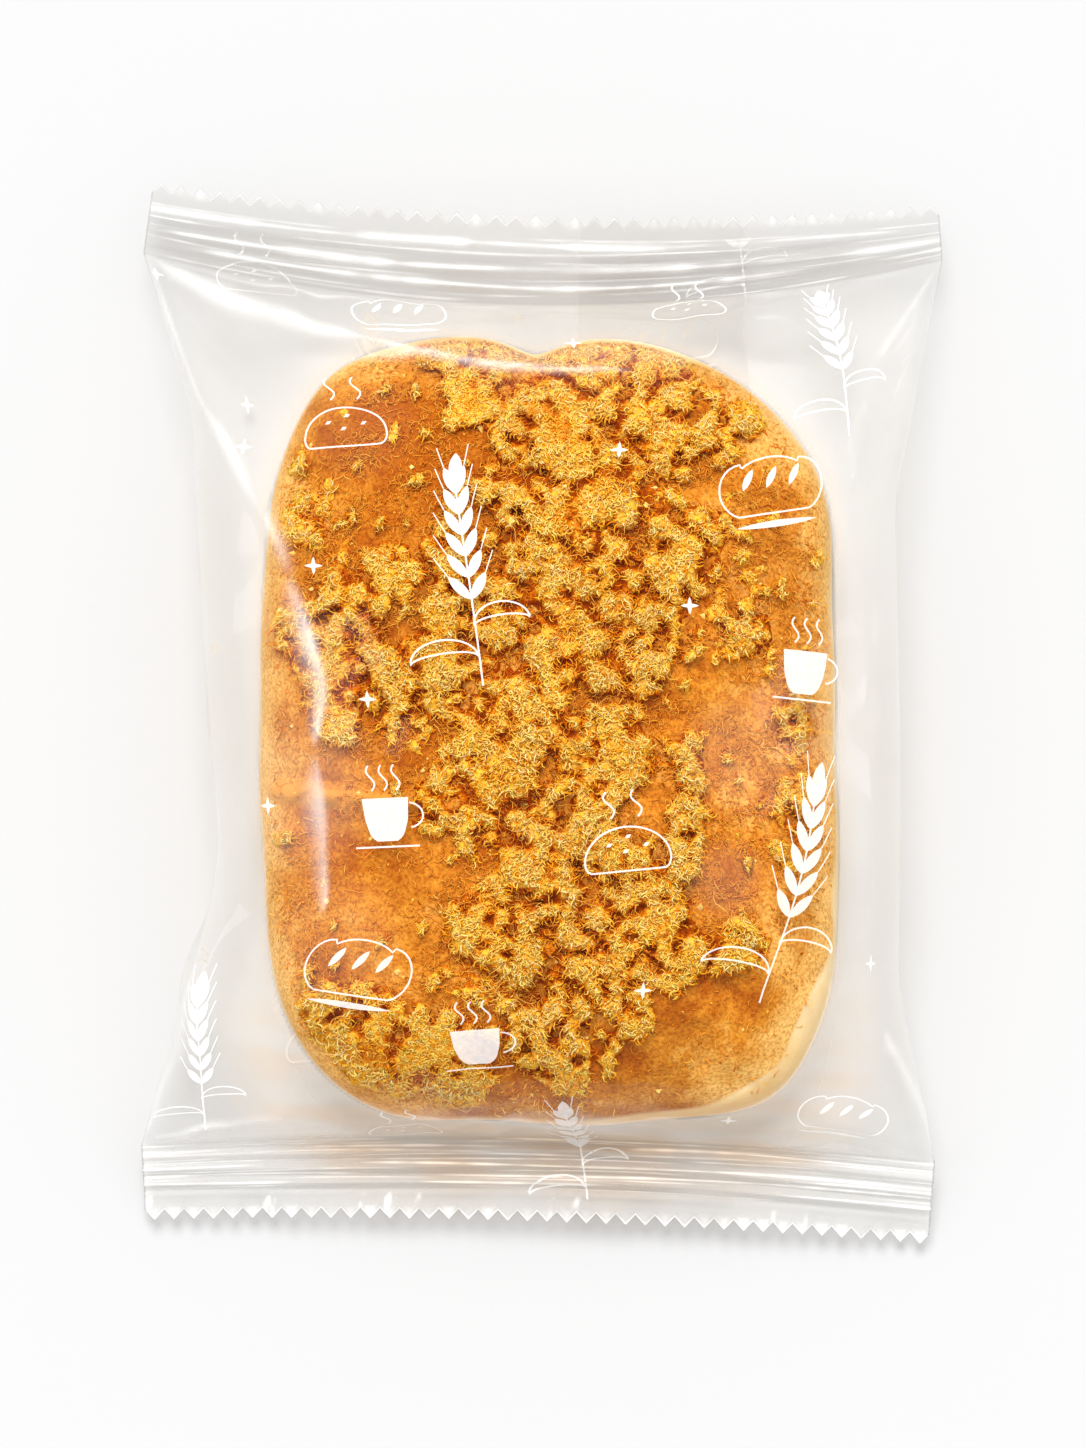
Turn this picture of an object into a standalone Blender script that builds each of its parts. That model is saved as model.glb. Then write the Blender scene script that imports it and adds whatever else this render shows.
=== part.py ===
"""A soft bun sealed in a clear flow-wrapped bag: one closed solid of the pack's outer form.

Metres, +Z up. The pack lies on its flat base with the bun's top up, and +Y runs to its upper end seal.
The film tube is a loft of closed sections, flat at the crimped end seals and full over the bun.
"""

import math

import bpy
from mathutils import Vector

# The film across the bag: one column for each tooth of the zigzag cut
TEETH = 40
TOOTH_DEPTH = 0.0017
PLY = 0.0005  # both layers of a sealed end, drawn thicker than real film

# Seal lines seen from above, each as y = middle + bow * s^2 + lean * s, with s from -1 at the left to +1
UPPER_INNER = (0.0625, 0.0076, -0.0005)
UPPER_CUT = (0.0747, 0.0036, -0.0018)
LOWER_INNER = (-0.0651, -0.0028, -0.0013)
LOWER_CUT = (-0.0767, -0.0018, -0.0019)
# Left and right ends of the cut edge
UPPER_CUT_X = (-0.0599, 0.0613)
LOWER_CUT_X = (-0.0611, 0.0599)

# Side outlines from the lower seal to the upper one, as (y, x): straight ears, then pinched sides
LEFT_SIDE = ((-0.0679, -0.0619), (-0.0300, -0.0508), (-0.0195, -0.0491), (0.0127, -0.0516),
             (0.0461, -0.0534), (0.0706, -0.0610))
RIGHT_SIDE = ((-0.0692, 0.0606), (-0.0417, 0.0547), (-0.0026, 0.0548), (0.0319, 0.0540),
              (0.0697, 0.0616))
KINK_SOFTNESS = 0.0035
EAR_END = 0.012  # the last stretch beside each seal, where no kink is rounded off

# Heights above the table
CROWN = 0.0435  # over the bun and its floss
SIDE_HEIGHT = 0.0175  # where the tube is widest, halfway along
UPPER_SEAL_HEIGHT = 0.0125
LOWER_SEAL_HEIGHT = 0.0095
SEAL_DROOP = 0.0035  # how far the cut edge hangs below the seal's inner line
CORNER_DROOP = 0.0025  # and how far each end of a seal hangs below its middle

# The crown's height along the pack: flat over the middle, and steeper at the lower seal, as the bun lies closer
ALONG_POWER = 3.4
UPPER_ALONG_ROOT, LOWER_ALONG_ROOT = 1.3, 1.75
# How full the sections are across it: exponents of superellipses, halfway along and beside the seals
ROUND_MIDDLE, ROUND_END = 2.05, 1.5
BASE_HALF_WIDTH = 0.036  # of the flat base
BASE_REACH = 0.80  # the share of the length where the base lies flat
UNDERSIDE_CURVE = 2.0
BOW_POWER = 4  # how soon the rows take on the bow of the nearest seal

# Crimps of the end seals
RIDGES = 4
RIDGE_RISE = 0.00045
CRIMP_SHARE = 0.84  # of the seal's width, counted from the inner line

# The film's lengthwise fin seal, folded flat under the pack, between two columns of the underside
FIN_COLUMNS = (21, 25)
FIN_RISE = 0.0004
FIN_EDGE = 0.00015

BODY_ROWS = 34
SECTION_STEPS = 240

# Main folds of the upper film, seen from above: start, end, rise and half width.
# Each is lower at its far end, and all fade out at the film's edges.
FOLD_FADE_ROWS, FOLD_FADE_COLUMNS = 6, 3
FOLD_DECLINE = 0.4
FOLDS = (
    ((-0.0590, 0.0690), (0.0060, 0.0520), 0.0016, 0.0040),
    ((-0.0590, 0.0670), (-0.0345, 0.0080), 0.0018, 0.0040),
    ((-0.0345, 0.0080), (-0.0330, -0.0290), 0.0013, 0.0035),
    ((0.0600, 0.0680), (0.0495, 0.0330), 0.0016, 0.0040),
    ((0.0590, 0.0670), (0.0300, 0.0500), 0.0011, 0.0040),
    ((0.0495, 0.0330), (0.0500, -0.0350), 0.0010, 0.0035),
    ((-0.0600, -0.0650), (-0.0370, -0.0560), 0.0016, 0.0045),
    ((0.0590, -0.0670), (0.0400, -0.0500), 0.0014, 0.0045),
)


def mix(a, b, share):
    return a + (b - a) * share


def plan_line(line, s):
    middle, bow, lean = line
    return middle + bow * s * s + lean * s


def side_x(points, y):
    """The side outline's x at y: straight runs between its points, with the kinks rounded off."""
    def straight(at):
        at = min(max(at, points[0][0]), points[-1][0])
        for (y0, x0), (y1, x1) in zip(points, points[1:]):
            if at <= y1:
                return mix(x0, x1, (at - y0) / (y1 - y0))
        return points[-1][1]

    from_end = min(points[-1][0] - y, y - points[0][0])
    spread = KINK_SOFTNESS * min(max(from_end / EAR_END, 0.0), 1.0)
    return (straight(y - spread) + 2 * straight(y) + straight(y + spread)) / 4


def evenly(curve, count):
    """Points spaced evenly by length along a fine polyline, ends included."""
    along = [0.0]
    for a, b in zip(curve, curve[1:]):
        along.append(along[-1] + math.dist(a, b))
    points, i = [], 0
    for k in range(count + 1):
        wanted = along[-1] * k / count
        while i < len(curve) - 2 and along[i + 1] < wanted:
            i += 1
        share = (wanted - along[i]) / (along[i + 1] - along[i])
        points.append(tuple(mix(p, q, share) for p, q in zip(curve[i], curve[i + 1])))
    return points


def upper_section(left, right, edge, top, fullness):
    """(x, z) across the upper film at each column line, from the left side to the right."""
    centre, half = (left + right) / 2, (right - left) / 2
    curve = []
    for k in range(SECTION_STEPS + 1):
        turn = math.pi * k / SECTION_STEPS
        across, up = math.cos(turn), math.sin(turn)
        x = centre - math.copysign(half * abs(across) ** (2 / fullness), across)
        curve.append((x, edge + (top - edge) * max(up, 0.0) ** (2 / fullness)))
    return evenly(curve, TEETH)


def lower_section(left, right, edge, base, flat):
    """(x, z) across the lower film at each column line: a flat base whose sides curve up."""
    centre, half = (left + right) / 2, (right - left) / 2
    curve = []
    for k in range(SECTION_STEPS + 1):
        across = -math.cos(math.pi * k / SECTION_STEPS)
        outside = max(abs(across) * half - flat, 0.0) / (half - flat)
        curve.append((centre + half * across, base + (edge - base) * outside ** UNDERSIDE_CURVE))
    return evenly(curve, TEETH)


def seal_height(upper, s, outward):
    """Middle of the sealed layers: it droops towards the cut edge and towards both ends."""
    inner = UPPER_SEAL_HEIGHT if upper else LOWER_SEAL_HEIGHT
    return inner - SEAL_DROOP * outward - CORNER_DROOP * s * s


def seal_row(upper, outward, crimp):
    """One row across an end seal. outward runs from 0 at the inner line to 1 at the cut."""
    inner, cut = (UPPER_INNER, UPPER_CUT) if upper else (LOWER_INNER, LOWER_CUT)
    ends_cut = UPPER_CUT_X if upper else LOWER_CUT_X
    ends = [side_x(side, plan_line(inner, s)) for side, s in ((LEFT_SIDE, -1), (RIGHT_SIDE, 1))]
    left, right = (mix(a, b, outward) for a, b in zip(ends, ends_cut))
    over, under = [], []
    for i in range(TEETH + 1):
        s = 2 * i / TEETH - 1
        y = mix(plan_line(inner, s), plan_line(cut, s), outward)
        z = seal_height(upper, s, outward) + crimp
        half_ply = 0.0 if i in (0, TEETH) else PLY / 2
        over.append(Vector((mix(left, right, i / TEETH), y, z + half_ply)))
        under.append(Vector((mix(left, right, i / TEETH), y, z - half_ply)))
    return over, under


def body_row(w):
    """One row around the pillow. w runs from -1 at the lower seal to +1 at the upper one."""
    upper = w > 0
    line = UPPER_INNER if upper else LOWER_INNER
    blend = abs(w) ** BOW_POWER
    row_line = (line[0] * abs(w), line[1] * blend, line[2] * blend)
    left = side_x(LEFT_SIDE, plan_line(row_line, -1))
    right = side_x(RIGHT_SIDE, plan_line(row_line, 1))
    seal = UPPER_SEAL_HEIGHT if upper else LOWER_SEAL_HEIGHT
    full = (1 - abs(w) ** ALONG_POWER) ** (1 / (UPPER_ALONG_ROOT if upper else LOWER_ALONG_ROOT))
    top = mix(seal + PLY, CROWN, full)
    edge = mix(seal_height(upper, 1, 0), SIDE_HEIGHT, 1 - w * w)
    lift = max(abs(w) - BASE_REACH, 0.0) / (1 - BASE_REACH)
    base = (seal - PLY) * lift ** 2
    flat = BASE_HALF_WIDTH * (1 - lift ** 2)
    fullness = mix(ROUND_END, ROUND_MIDDLE, full)
    over, under = [], []
    for i, (x, z) in enumerate(upper_section(left, right, edge, top, fullness)):
        s = 2 * i / TEETH - 1
        over.append(Vector((x, plan_line(row_line, s), z)))
    for i, (x, z) in enumerate(lower_section(left, right, edge, base, flat)):
        s = 2 * i / TEETH - 1
        under.append(Vector((x, plan_line(row_line, s), z)))
    return over, under


def all_rows():
    """Rows from the lower cut to the upper cut, each with its flag for an end seal."""
    seal = [(1.0, 0.0), (CRIMP_SHARE, 0.0)]
    for k in range(2 * RIDGES - 1, 0, -1):
        seal.append((CRIMP_SHARE * k / (2 * RIDGES), RIDGE_RISE * (1 if k % 2 else -1)))
    seal.append((0.0, 0.0))
    rows = [(seal_row(False, outward, crimp), True) for outward, crimp in seal]
    for k in range(1, BODY_ROWS):
        w = math.sin(math.pi / 2 * (2 * k / BODY_ROWS - 1))
        rows.append((body_row(w), False))
    rows += [(seal_row(True, outward, crimp), True) for outward, crimp in reversed(seal)]
    return rows


def fold_rise(point):
    """How far the folds lift the upper film at a point, by its distance from each in plan."""
    rise = 0.0
    for start, end, height, half_width in FOLDS:
        line = Vector(end) - Vector(start)
        from_start = Vector((point.x, point.y)) - Vector(start)
        share = from_start.dot(line) / line.length_squared
        inside = min(max(share, 0.0), 1.0)
        away = (from_start - line * inside).length
        rise += height * math.exp(-((away / half_width) ** 2)) * (1 - FOLD_DECLINE * inside)
    return rise


def add_folds(rows):
    """Lifts the upper film along its own normals, fading out at the seals and the sides."""
    grid = [over for (over, _), _ in rows]
    lifted = [[point.copy() for point in over] for over in grid]
    body = [j for j, (_, sealed) in enumerate(rows) if not sealed]
    for j in body:
        along_fade = min(1.0, (j - body[0]) / FOLD_FADE_ROWS, (body[-1] - j) / FOLD_FADE_ROWS)
        for i in range(1, TEETH):
            along = grid[j + 1][i] - grid[j - 1][i]
            across = grid[j][i + 1] - grid[j][i - 1]
            fade = along_fade * min(1.0, i / FOLD_FADE_COLUMNS, (TEETH - i) / FOLD_FADE_COLUMNS)
            lifted[j][i] += across.cross(along).normalized() * fold_rise(grid[j][i]) * fade
    for over, changed in zip(grid, lifted):
        over[:] = changed


def ring_of(over, under, sealed):
    """One closed ring: over the film from left to right, then back under it, with the fin's step."""
    ring = list(over)
    first, last = FIN_COLUMNS
    rise = 0.0 if sealed else FIN_RISE
    for i in range(TEETH - 1, 0, -1):
        point = under[i].copy()
        if first < i < last:
            point.z = max(point.z - rise, 0.0)
        if i not in FIN_COLUMNS:
            ring.append(point)
            continue
        inward = FIN_EDGE if i == first else -FIN_EDGE
        lip = Vector((point.x + inward, point.y, max(point.z - rise, 0.0)))
        ring += [lip, point] if i == first else [point, lip]
    return ring


def cut_teeth(points, faces, start, over, ring_size, away):
    """Closes one end: each tooth's two faces and two flanks meet at its tip."""
    def under_of(i):
        extra = sum(i <= column for column in FIN_COLUMNS)
        return start + (2 * TEETH - i + (extra if i else 0)) % ring_size

    for i in range(TEETH):
        tip = (over[i] + over[i + 1]) / 2
        tip.y += TOOTH_DEPTH * away
        points.append(tip)
        at = len(points) - 1
        upper = [start + i, start + i + 1]
        lower = list(range(under_of(i + 1), under_of(i) + 1)) if i else [start + ring_size - 1, start]
        if i + 1 == TEETH:
            lower[0] = start + TEETH
        loop = upper + [k for k in lower if k not in upper]
        for a, b in zip(loop, loop[1:] + loop[:1]):
            faces.append((at, a, b) if away > 0 else (at, b, a))


def film_mesh(rows):
    points, faces, size = [], [], 0
    for (over, under), sealed in rows:
        ring = ring_of(over, under, sealed)
        size = len(ring)
        points += ring
    for j in range(len(rows) - 1):
        for i in range(size):
            a, b = j * size + i, j * size + (i + 1) % size
            faces.append((a, b, b + size, a + size))
    cut_teeth(points, faces, 0, rows[0][0][0], size, -1)
    cut_teeth(points, faces, (len(rows) - 1) * size, rows[-1][0][0], size, 1)
    return points, faces


def centred(points):
    """Moves the pack so that the origin is under the middle of its box, on the table."""
    lows = [min(point[k] for point in points) for k in range(3)]
    highs = [max(point[k] for point in points) for k in range(3)]
    shift = Vector(((lows[0] + highs[0]) / 2, (lows[1] + highs[1]) / 2, lows[2]))
    return [point - shift for point in points]


def film_material():
    material = bpy.data.materials.new("clear_film")
    material.use_nodes = True
    shader = material.node_tree.nodes["Principled BSDF"]
    shader.inputs["Base Color"].default_value = (0.86, 0.84, 0.81, 1.0)
    shader.inputs["Roughness"].default_value = 0.12
    shader.inputs["Metallic"].default_value = 0.0
    shader.inputs["Alpha"].default_value = 0.35
    return material


def sealed_bag():
    rows = all_rows()
    add_folds(rows)
    points, faces = film_mesh(rows)
    mesh = bpy.data.meshes.new("sealed_bag")
    mesh.from_pydata(centred(points), [], faces)
    mesh.shade_smooth()
    mesh.set_sharp_from_angle(angle=math.radians(40))
    mesh.materials.append(film_material())
    return bpy.data.objects.new("sealed_bag", mesh)


def main():
    for old in list(bpy.data.objects):
        bpy.data.objects.remove(old)
    pack = bpy.data.collections.new("floss_bun_pack")
    bpy.context.scene.collection.children.link(pack)
    pack.objects.link(sealed_bag())


main()
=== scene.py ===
"""A floss-topped bun in its clear flow-wrapped bag: film, print, bun and floss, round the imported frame.

All sizes are in millimetres, in the pack's own drawing, with +Y to its upper seal. mesh_object() turns them
into metres and puts them where the frame's solid lies.
"""

import math

import bpy
import numpy as np
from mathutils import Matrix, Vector
from mathutils.bvhtree import BVHTree


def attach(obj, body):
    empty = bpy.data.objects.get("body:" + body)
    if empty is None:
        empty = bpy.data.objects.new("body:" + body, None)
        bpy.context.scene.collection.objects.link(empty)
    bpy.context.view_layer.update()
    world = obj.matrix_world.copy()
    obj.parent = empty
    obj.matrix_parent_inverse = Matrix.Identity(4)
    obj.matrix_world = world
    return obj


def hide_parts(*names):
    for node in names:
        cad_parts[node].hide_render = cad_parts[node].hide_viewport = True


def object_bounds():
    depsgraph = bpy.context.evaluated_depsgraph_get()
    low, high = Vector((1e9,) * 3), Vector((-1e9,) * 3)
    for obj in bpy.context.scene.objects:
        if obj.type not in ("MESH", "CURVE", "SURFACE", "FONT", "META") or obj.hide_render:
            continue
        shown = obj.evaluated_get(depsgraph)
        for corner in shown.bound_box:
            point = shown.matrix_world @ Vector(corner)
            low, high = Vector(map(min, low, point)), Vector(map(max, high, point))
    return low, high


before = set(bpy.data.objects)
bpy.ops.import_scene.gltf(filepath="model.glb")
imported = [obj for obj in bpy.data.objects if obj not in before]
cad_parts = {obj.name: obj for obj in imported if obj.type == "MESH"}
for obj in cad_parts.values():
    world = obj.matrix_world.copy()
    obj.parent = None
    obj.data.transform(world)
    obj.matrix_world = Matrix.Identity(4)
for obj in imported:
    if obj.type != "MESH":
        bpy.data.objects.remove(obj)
cad_low, cad_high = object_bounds()

PACK = "sealed_bag"
BODY = "root"
METRES = 0.001
PLACE = [0.0, 0.0, 0.0]  # how far the drawing moves to lie where the frame's solid does, set by pack()

# The film tube, from the same named values as the solid it replaces
TEETH = 40
STEPS_PER_TOOTH = 6
COLUMNS = TEETH * STEPS_PER_TOOTH
TOOTH_DEPTH = 1.7
PLY = 0.12
UPPER_INNER = (62.5, 7.6, -0.5)
UPPER_CUT = (74.7, 3.6, -1.8)
LOWER_INNER = (-65.1, -2.8, -1.3)
LOWER_CUT = (-76.7, -1.8, -1.9)
UPPER_CUT_X = (-59.9, 61.3)
LOWER_CUT_X = (-61.1, 59.9)
LEFT_SIDE = ((-67.9, -61.9), (-30.0, -50.8), (-19.5, -49.1), (12.7, -51.6), (46.1, -53.4), (70.6, -61.0))
RIGHT_SIDE = ((-69.2, 60.6), (-41.7, 54.7), (-2.6, 54.8), (31.9, 54.0), (69.7, 61.6))
KINK_SOFTNESS = 3.5
EAR_END = 12.0
CROWN = 43.5
SIDE_HEIGHT = 17.5
UPPER_SEAL_HEIGHT = 12.5
LOWER_SEAL_HEIGHT = 9.5
SEAL_DROOP = 3.5
CORNER_DROOP = 2.5
ALONG_POWER = 3.4
UPPER_ALONG_ROOT, LOWER_ALONG_ROOT = 1.3, 1.75
ROUND_MIDDLE, ROUND_END = 2.05, 1.5
BASE_HALF_WIDTH = 36.0
BASE_REACH = 0.80
BASE_CLEARANCE = 0.15
UNDERSIDE_CURVE = 2.0
BOW_POWER = 4
RIDGES = 4
RIDGE_RISE = 0.42
CRIMP_SHARE = 0.84
BODY_ROWS = 210
SEAL_ROWS = 80
TOOTH_ROOT = 0.86  # how far out along a seal the teeth's shape begins
SECTION_STEPS = 480
CRIMP_DRIFT, CRIMP_SHARPNESS = 0.10, 1.5
BUCKLE, BUCKLE_FROM = 0.18, 0.7  # how the cut buckles, and from how far out along a seal
# The seam under the pack: where it lies on the flat film, its gap below it, how sealed it is, and the painted
# highlight along its edges
SHEET_WIDTH = 122.0
FIN_FROM, FIN_TO = 5.0, 31.0
FIN_GAP, FIN_LOWEST = 0.06, 0.05
FIN_SEALED, FIN_EDGE_GLINT = 0.6, 0.12

# Creases of the upper film: the points each runs through, its rise and its half width
CREASES = (
    (((-60.0, 69.5), (-37.0, 58.6), (-13.9, 53.3), (3.0, 51.0), (15.0, 51.8)), 1.5, 1.7),
    (((-60.0, 68.0), (-55.0, 59.0), (-47.5, 42.0), (-41.0, 30.0), (-36.0, 14.0), (-33.4, 2.0)), 1.4, 2.0),
    (((-33.4, 2.0), (-33.0, -8.0), (-34.2, -14.0), (-32.6, -28.0)), 0.9, 1.2),
    (((-53.5, 25.0), (-53.2, 2.0)), 0.6, 1.0),
    (((60.6, 68.5), (57.0, 60.0), (55.5, 52.0)), 1.2, 1.3),
    (((60.0, 67.5), (52.0, 55.0), (48.5, 42.0), (46.5, 34.0)), 1.0, 1.8),
    (((49.5, 12.0), (49.8, -8.0), (49.0, -28.0)), 0.5, 2.0),
    (((-61.0, -66.5), (-48.0, -62.0), (-41.0, -61.2), (-37.4, -60.0)), 1.2, 1.2),
    (((-60.0, -64.0), (-52.0, -44.0), (-47.0, -28.0)), 0.8, 2.4),
    (((60.4, -69.0), (55.3, -55.6), (53.0, -50.4)), 1.1, 1.4),
    (((60.0, -69.0), (52.7, -65.0), (39.8, -60.0)), 0.9, 1.5),
)

# Painted highlights, white glints along the creases: points, half widths, how much wider the left side is,
# and strength
STREAKS = (
    (((-24.0, 57.0), (-8.0, 54.5), (10.0, 54.5), (26.0, 53.0)), (2.0, 3.0, 3.0, 2.0), 1.0, 0.14),
    (((-60.9, 70.9), (-54.2, 65.9), (-47.2, 62.9), (-39.2, 59.8), (-31.4, 57.4), (-23.4, 55.4),
      (-15.5, 53.4)), (0.4, 1.0, 1.6, 1.6, 1.2, 0.7, 0.35), 1.0, 1.0),
    (((-24.0, 55.4), (-15.5, 53.4), (-6.0, 51.8), (2.9, 51.0), (15.2, 51.8)), (0.4, 0.5, 0.5, 0.4, 0.2),
     1.0, 0.9),
    (((-30.0, 53.5), (-22.0, 53.9), (-13.9, 53.9)), (0.2, 0.4, 0.2), 1.5, 0.6),
    (((-60.9, 70.9), (-55.0, 58.2), (-51.1, 47.9), (-47.2, 40.9), (-43.2, 32.9), (-39.2, 25.9),
      (-36.6, 19.0)), (0.2, 0.35, 0.5, 0.9, 1.1, 0.8, 0.4), 1.2, 0.75),
    (((-60.9, 70.5), (-57.0, 61.0), (-54.5, 53.0)), (0.2, 0.35, 0.2), 1.0, 0.4),
    (((-37.6, 21.0), (-35.8, 15.9), (-33.8, 9.3), (-32.6, 3.7), (-33.1, -2.0), (-33.8, -5.7)),
     (0.3, 0.5, 0.55, 0.5, 0.35, 0.2), 3.4, 0.9),
    (((-33.8, -5.0), (-33.1, -10.4), (-32.6, -16.0), (-32.4, -21.6), (-32.2, -27.3), (-33.0, -30.6)),
     (0.25, 0.6, 0.6, 0.45, 0.3, 0.15), 3.6, 0.8),
    (((-53.4, 26.0), (-53.0, 12.0), (-52.2, 0.0)), (0.3, 0.8, 0.3), 1.0, 0.6),
    (((-60.6, -65.6), (-51.9, -62.9), (-43.6, -61.6), (-37.2, -60.9)), (0.2, 0.4, 0.7, 0.5), 1.0, 0.8),
    (((-38.6, -62.0), (-37.4, -59.3)), (0.3, 0.15), 1.0, 0.6),
    (((-61.4, -66.0), (-57.0, -55.9), (-54.2, -47.9), (-51.0, -38.0)), (0.2, 0.6, 1.1, 0.5), 1.0, 0.4),
    (((61.3, 69.2), (57.0, 62.9), (53.0, 56.7), (51.0, 53.4)), (0.2, 0.6, 1.2, 0.8), 1.0, 0.5),
    (((60.6, 68.2), (56.2, 54.2), (53.0, 46.4)), (0.2, 0.35, 0.3), 1.0, 0.5),
    (((50.2, 48.7), (46.7, 40.9), (48.2, 34.5)), (0.3, 0.6, 0.4), 1.5, 0.5),
    (((31.7, 59.9), (36.4, 60.2), (42.7, 56.7)), (0.5, 1.1, 0.5), 1.0, 0.4),
    (((49.6, 30.0), (50.4, 12.0), (50.4, -6.0), (49.4, -26.0)), (0.8, 2.4, 2.4, 0.8), 1.0, 0.42),
    (((60.6, -69.0), (57.6, -60.6), (53.6, -51.3), (52.9, -47.9)), (0.3, 0.8, 1.2, 0.5), 1.0, 0.5),
    (((60.0, -68.8), (53.6, -66.6), (46.9, -64.6)), (0.2, 0.35, 0.2), 1.0, 0.5),
    (((-60.8, 69.5), (-40.0, 65.0), (-20.0, 62.4), (-2.0, 61.6)), (0.2, 0.3, 0.3, 0.15), 1.0, 0.6),
    (((-60.4, 67.6), (-44.0, 61.0), (-33.0, 58.6)), (0.15, 0.3, 0.15), 1.0, 0.35),
    (((60.8, 68.4), (40.0, 64.8), (20.0, 62.6), (8.0, 62.2)), (0.2, 0.3, 0.3, 0.15), 1.0, 0.5),
    (((-60.5, -66.2), (-30.0, -64.6), (0.0, -63.8), (24.0, -64.6)), (0.2, 0.3, 0.3, 0.2), 1.0, 0.5),
    (((-20.0, -62.6), (6.0, -62.2), (30.0, -63.2)), (0.15, 0.3, 0.15), 1.0, 0.35),
)


def mix(a, b, share):
    return a + (b - a) * share


def smooth(value):
    """Eases a share from 0 to 1."""
    share = np.clip(value, 0.0, 1.0)
    return share * share * (3 - 2 * share)


def waves(x, y, size, seed, count=24):
    """Smooth noise of about unit strength: a sum of plane waves around size long."""
    rng = np.random.default_rng(seed)
    total = np.zeros(np.broadcast(x, y).shape)
    for _ in range(count):
        turn, phase = rng.uniform(0, 2 * np.pi, 2)
        length = size * rng.uniform(0.7, 1.6)
        total += np.sin(2 * np.pi * (x * np.cos(turn) + y * np.sin(turn)) / length + phase)
    return total / math.sqrt(count / 2)


# Multipliers that scatter a grid cell's numbers, one pair for each random value wanted
SCATTER = ((127.1, 311.7), (269.5, 183.3), (419.2, 371.9))
SCATTER_GAIN = 43758.5453


def cells(x, y, size, seed):
    """Distance to the nearest point of a jittered grid, as a share of size, and that point's random value."""
    column, row = np.floor(x / size), np.floor(y / size)
    nearest, own = np.full(np.shape(x), 9.0), np.zeros(np.shape(x))
    for i in (-1, 0, 1):
        for j in (-1, 0, 1):
            here, there = column + i, row + j
            a, b, c = (np.sin(here * p + there * q + seed) * SCATTER_GAIN % 1.0 for p, q in SCATTER)
            away = np.hypot((here + a) * size - x, (there + b) * size - y) / size
            own = np.where(away < nearest, c, own)
            nearest = np.minimum(away, nearest)
    return nearest, own


def rounded(points, steps=8):
    """A smooth curve through the points, as a finer polyline (Catmull-Rom)."""
    ends = [points[0], *points, points[-1]]
    curve = []
    for a, b, c, d in zip(ends, ends[1:], ends[2:], ends[3:]):
        for t in np.linspace(0, 1, steps, endpoint=False):
            curve.append(tuple(0.5 * (2 * q + (r - p) * t + (2 * p - 5 * q + 4 * r - w) * t ** 2
                                      + (3 * q - p - 3 * r + w) * t ** 3) for p, q, r, w in zip(a, b, c, d)))
    return curve + [tuple(points[-1])]


def layers(x, y, kinds):
    """Waves of several sizes together. Each kind is a height, a size, a seed and a count."""
    return sum(height * waves(x, y, size, seed, count) for height, size, seed, count in kinds)


def line_distance(x, y, points):
    """Distance in plan from each place to a polyline, and how far along it that is, from 0 to 1."""
    nearest, along = np.full(np.shape(x), 1e6), np.zeros(np.shape(x))
    runs = len(points) - 1
    for k, ((x0, y0), (x1, y1)) in enumerate(zip(points, points[1:])):
        dx, dy = x1 - x0, y1 - y0
        share = np.clip(((x - x0) * dx + (y - y0) * dy) / (dx * dx + dy * dy), 0, 1)
        away = np.hypot(x - x0 - share * dx, y - y0 - share * dy)
        along = np.where(away < nearest, (k + share) / runs, along)
        nearest = np.minimum(away, nearest)
    return nearest, along


def patches(x, y, places):
    """The combined weight at each place of round patches with soft edges."""
    total = np.zeros(np.shape(x))
    for (centre_x, centre_y), radius, weight in places:
        total += weight * smooth(1.5 - np.hypot(x - centre_x, y - centre_y) / radius)
    return total


# The bun's outline

BUN_CENTRE = (1.0, -2.6)
BUN_HALF_WIDTH, BUN_HALF_LENGTH = 43.8, 60.3
CORNER_POWERS = {(1, 1): 3.15, (-1, 1): 3.7, (-1, -1): 3.7, (1, -1): 4.5}  # how square each quarter is
# Where the outline stands further out or in: the direction, its spread and by how much
SHOULDERS = ((64, 12, -2.1), (43, 17, 1.9))
BULGE = 0.8  # how much further out the lower half's right side stands
LOBE_DIP, LOBE_PLACE, LOBE_WIDTH = 3.1, -1.8, 5.5  # the dip between the two upper lobes


def bun_outline(turn):
    """The bun's widest outline, from its centre. Each quarter has its own roundness."""
    c, s = np.cos(turn), np.sin(turn)
    power = np.zeros_like(turn)
    for (to_x, to_y), value in CORNER_POWERS.items():
        power += value * smooth(0.5 + 4 * to_x * c) * smooth(0.5 + 4 * to_y * s)
    reach = (np.abs(c / BUN_HALF_WIDTH) ** power + np.abs(s / BUN_HALF_LENGTH) ** power) ** (-1 / power)
    x, y = reach * c, reach * s
    dip = LOBE_DIP * np.exp(-(np.abs(x - LOBE_PLACE) / LOBE_WIDTH) ** 1.5) * (s > 0)
    further = 0.35 * waves(x, y, 26, 71, 10)
    for direction, spread, rise in SHOULDERS:
        further += rise * np.exp(-((np.degrees(np.arctan2(y, x)) - direction) / spread) ** 2)
    return x + further * c + BULGE * smooth(2 * c) * smooth(-y / 30), y - dip + further * s


def past_rim(x, y):
    """How far each place lies past the bun's rim, as a share of the way there, and its direction."""
    turn = np.arctan2(y - BUN_CENTRE[1], x - BUN_CENTRE[0])
    rim_x, rim_y = bun_outline(turn)
    return np.hypot(x - BUN_CENTRE[0], y - BUN_CENTRE[1]) / np.hypot(rim_x, rim_y) - 1, turn


def on_bun(x, y):
    """1 on the bun's upper side, fading to 0 at its rim, and later at its upper end."""
    beyond, turn = past_rim(x, y)
    at_end = smooth((np.sin(turn) - 0.80) / 0.15)
    return smooth(mix(-0.1, 0.45, at_end) - beyond * 12)


# The film

def plan_line(line, s):
    middle, bow, lean = line
    return middle + bow * s * s + lean * s


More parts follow.
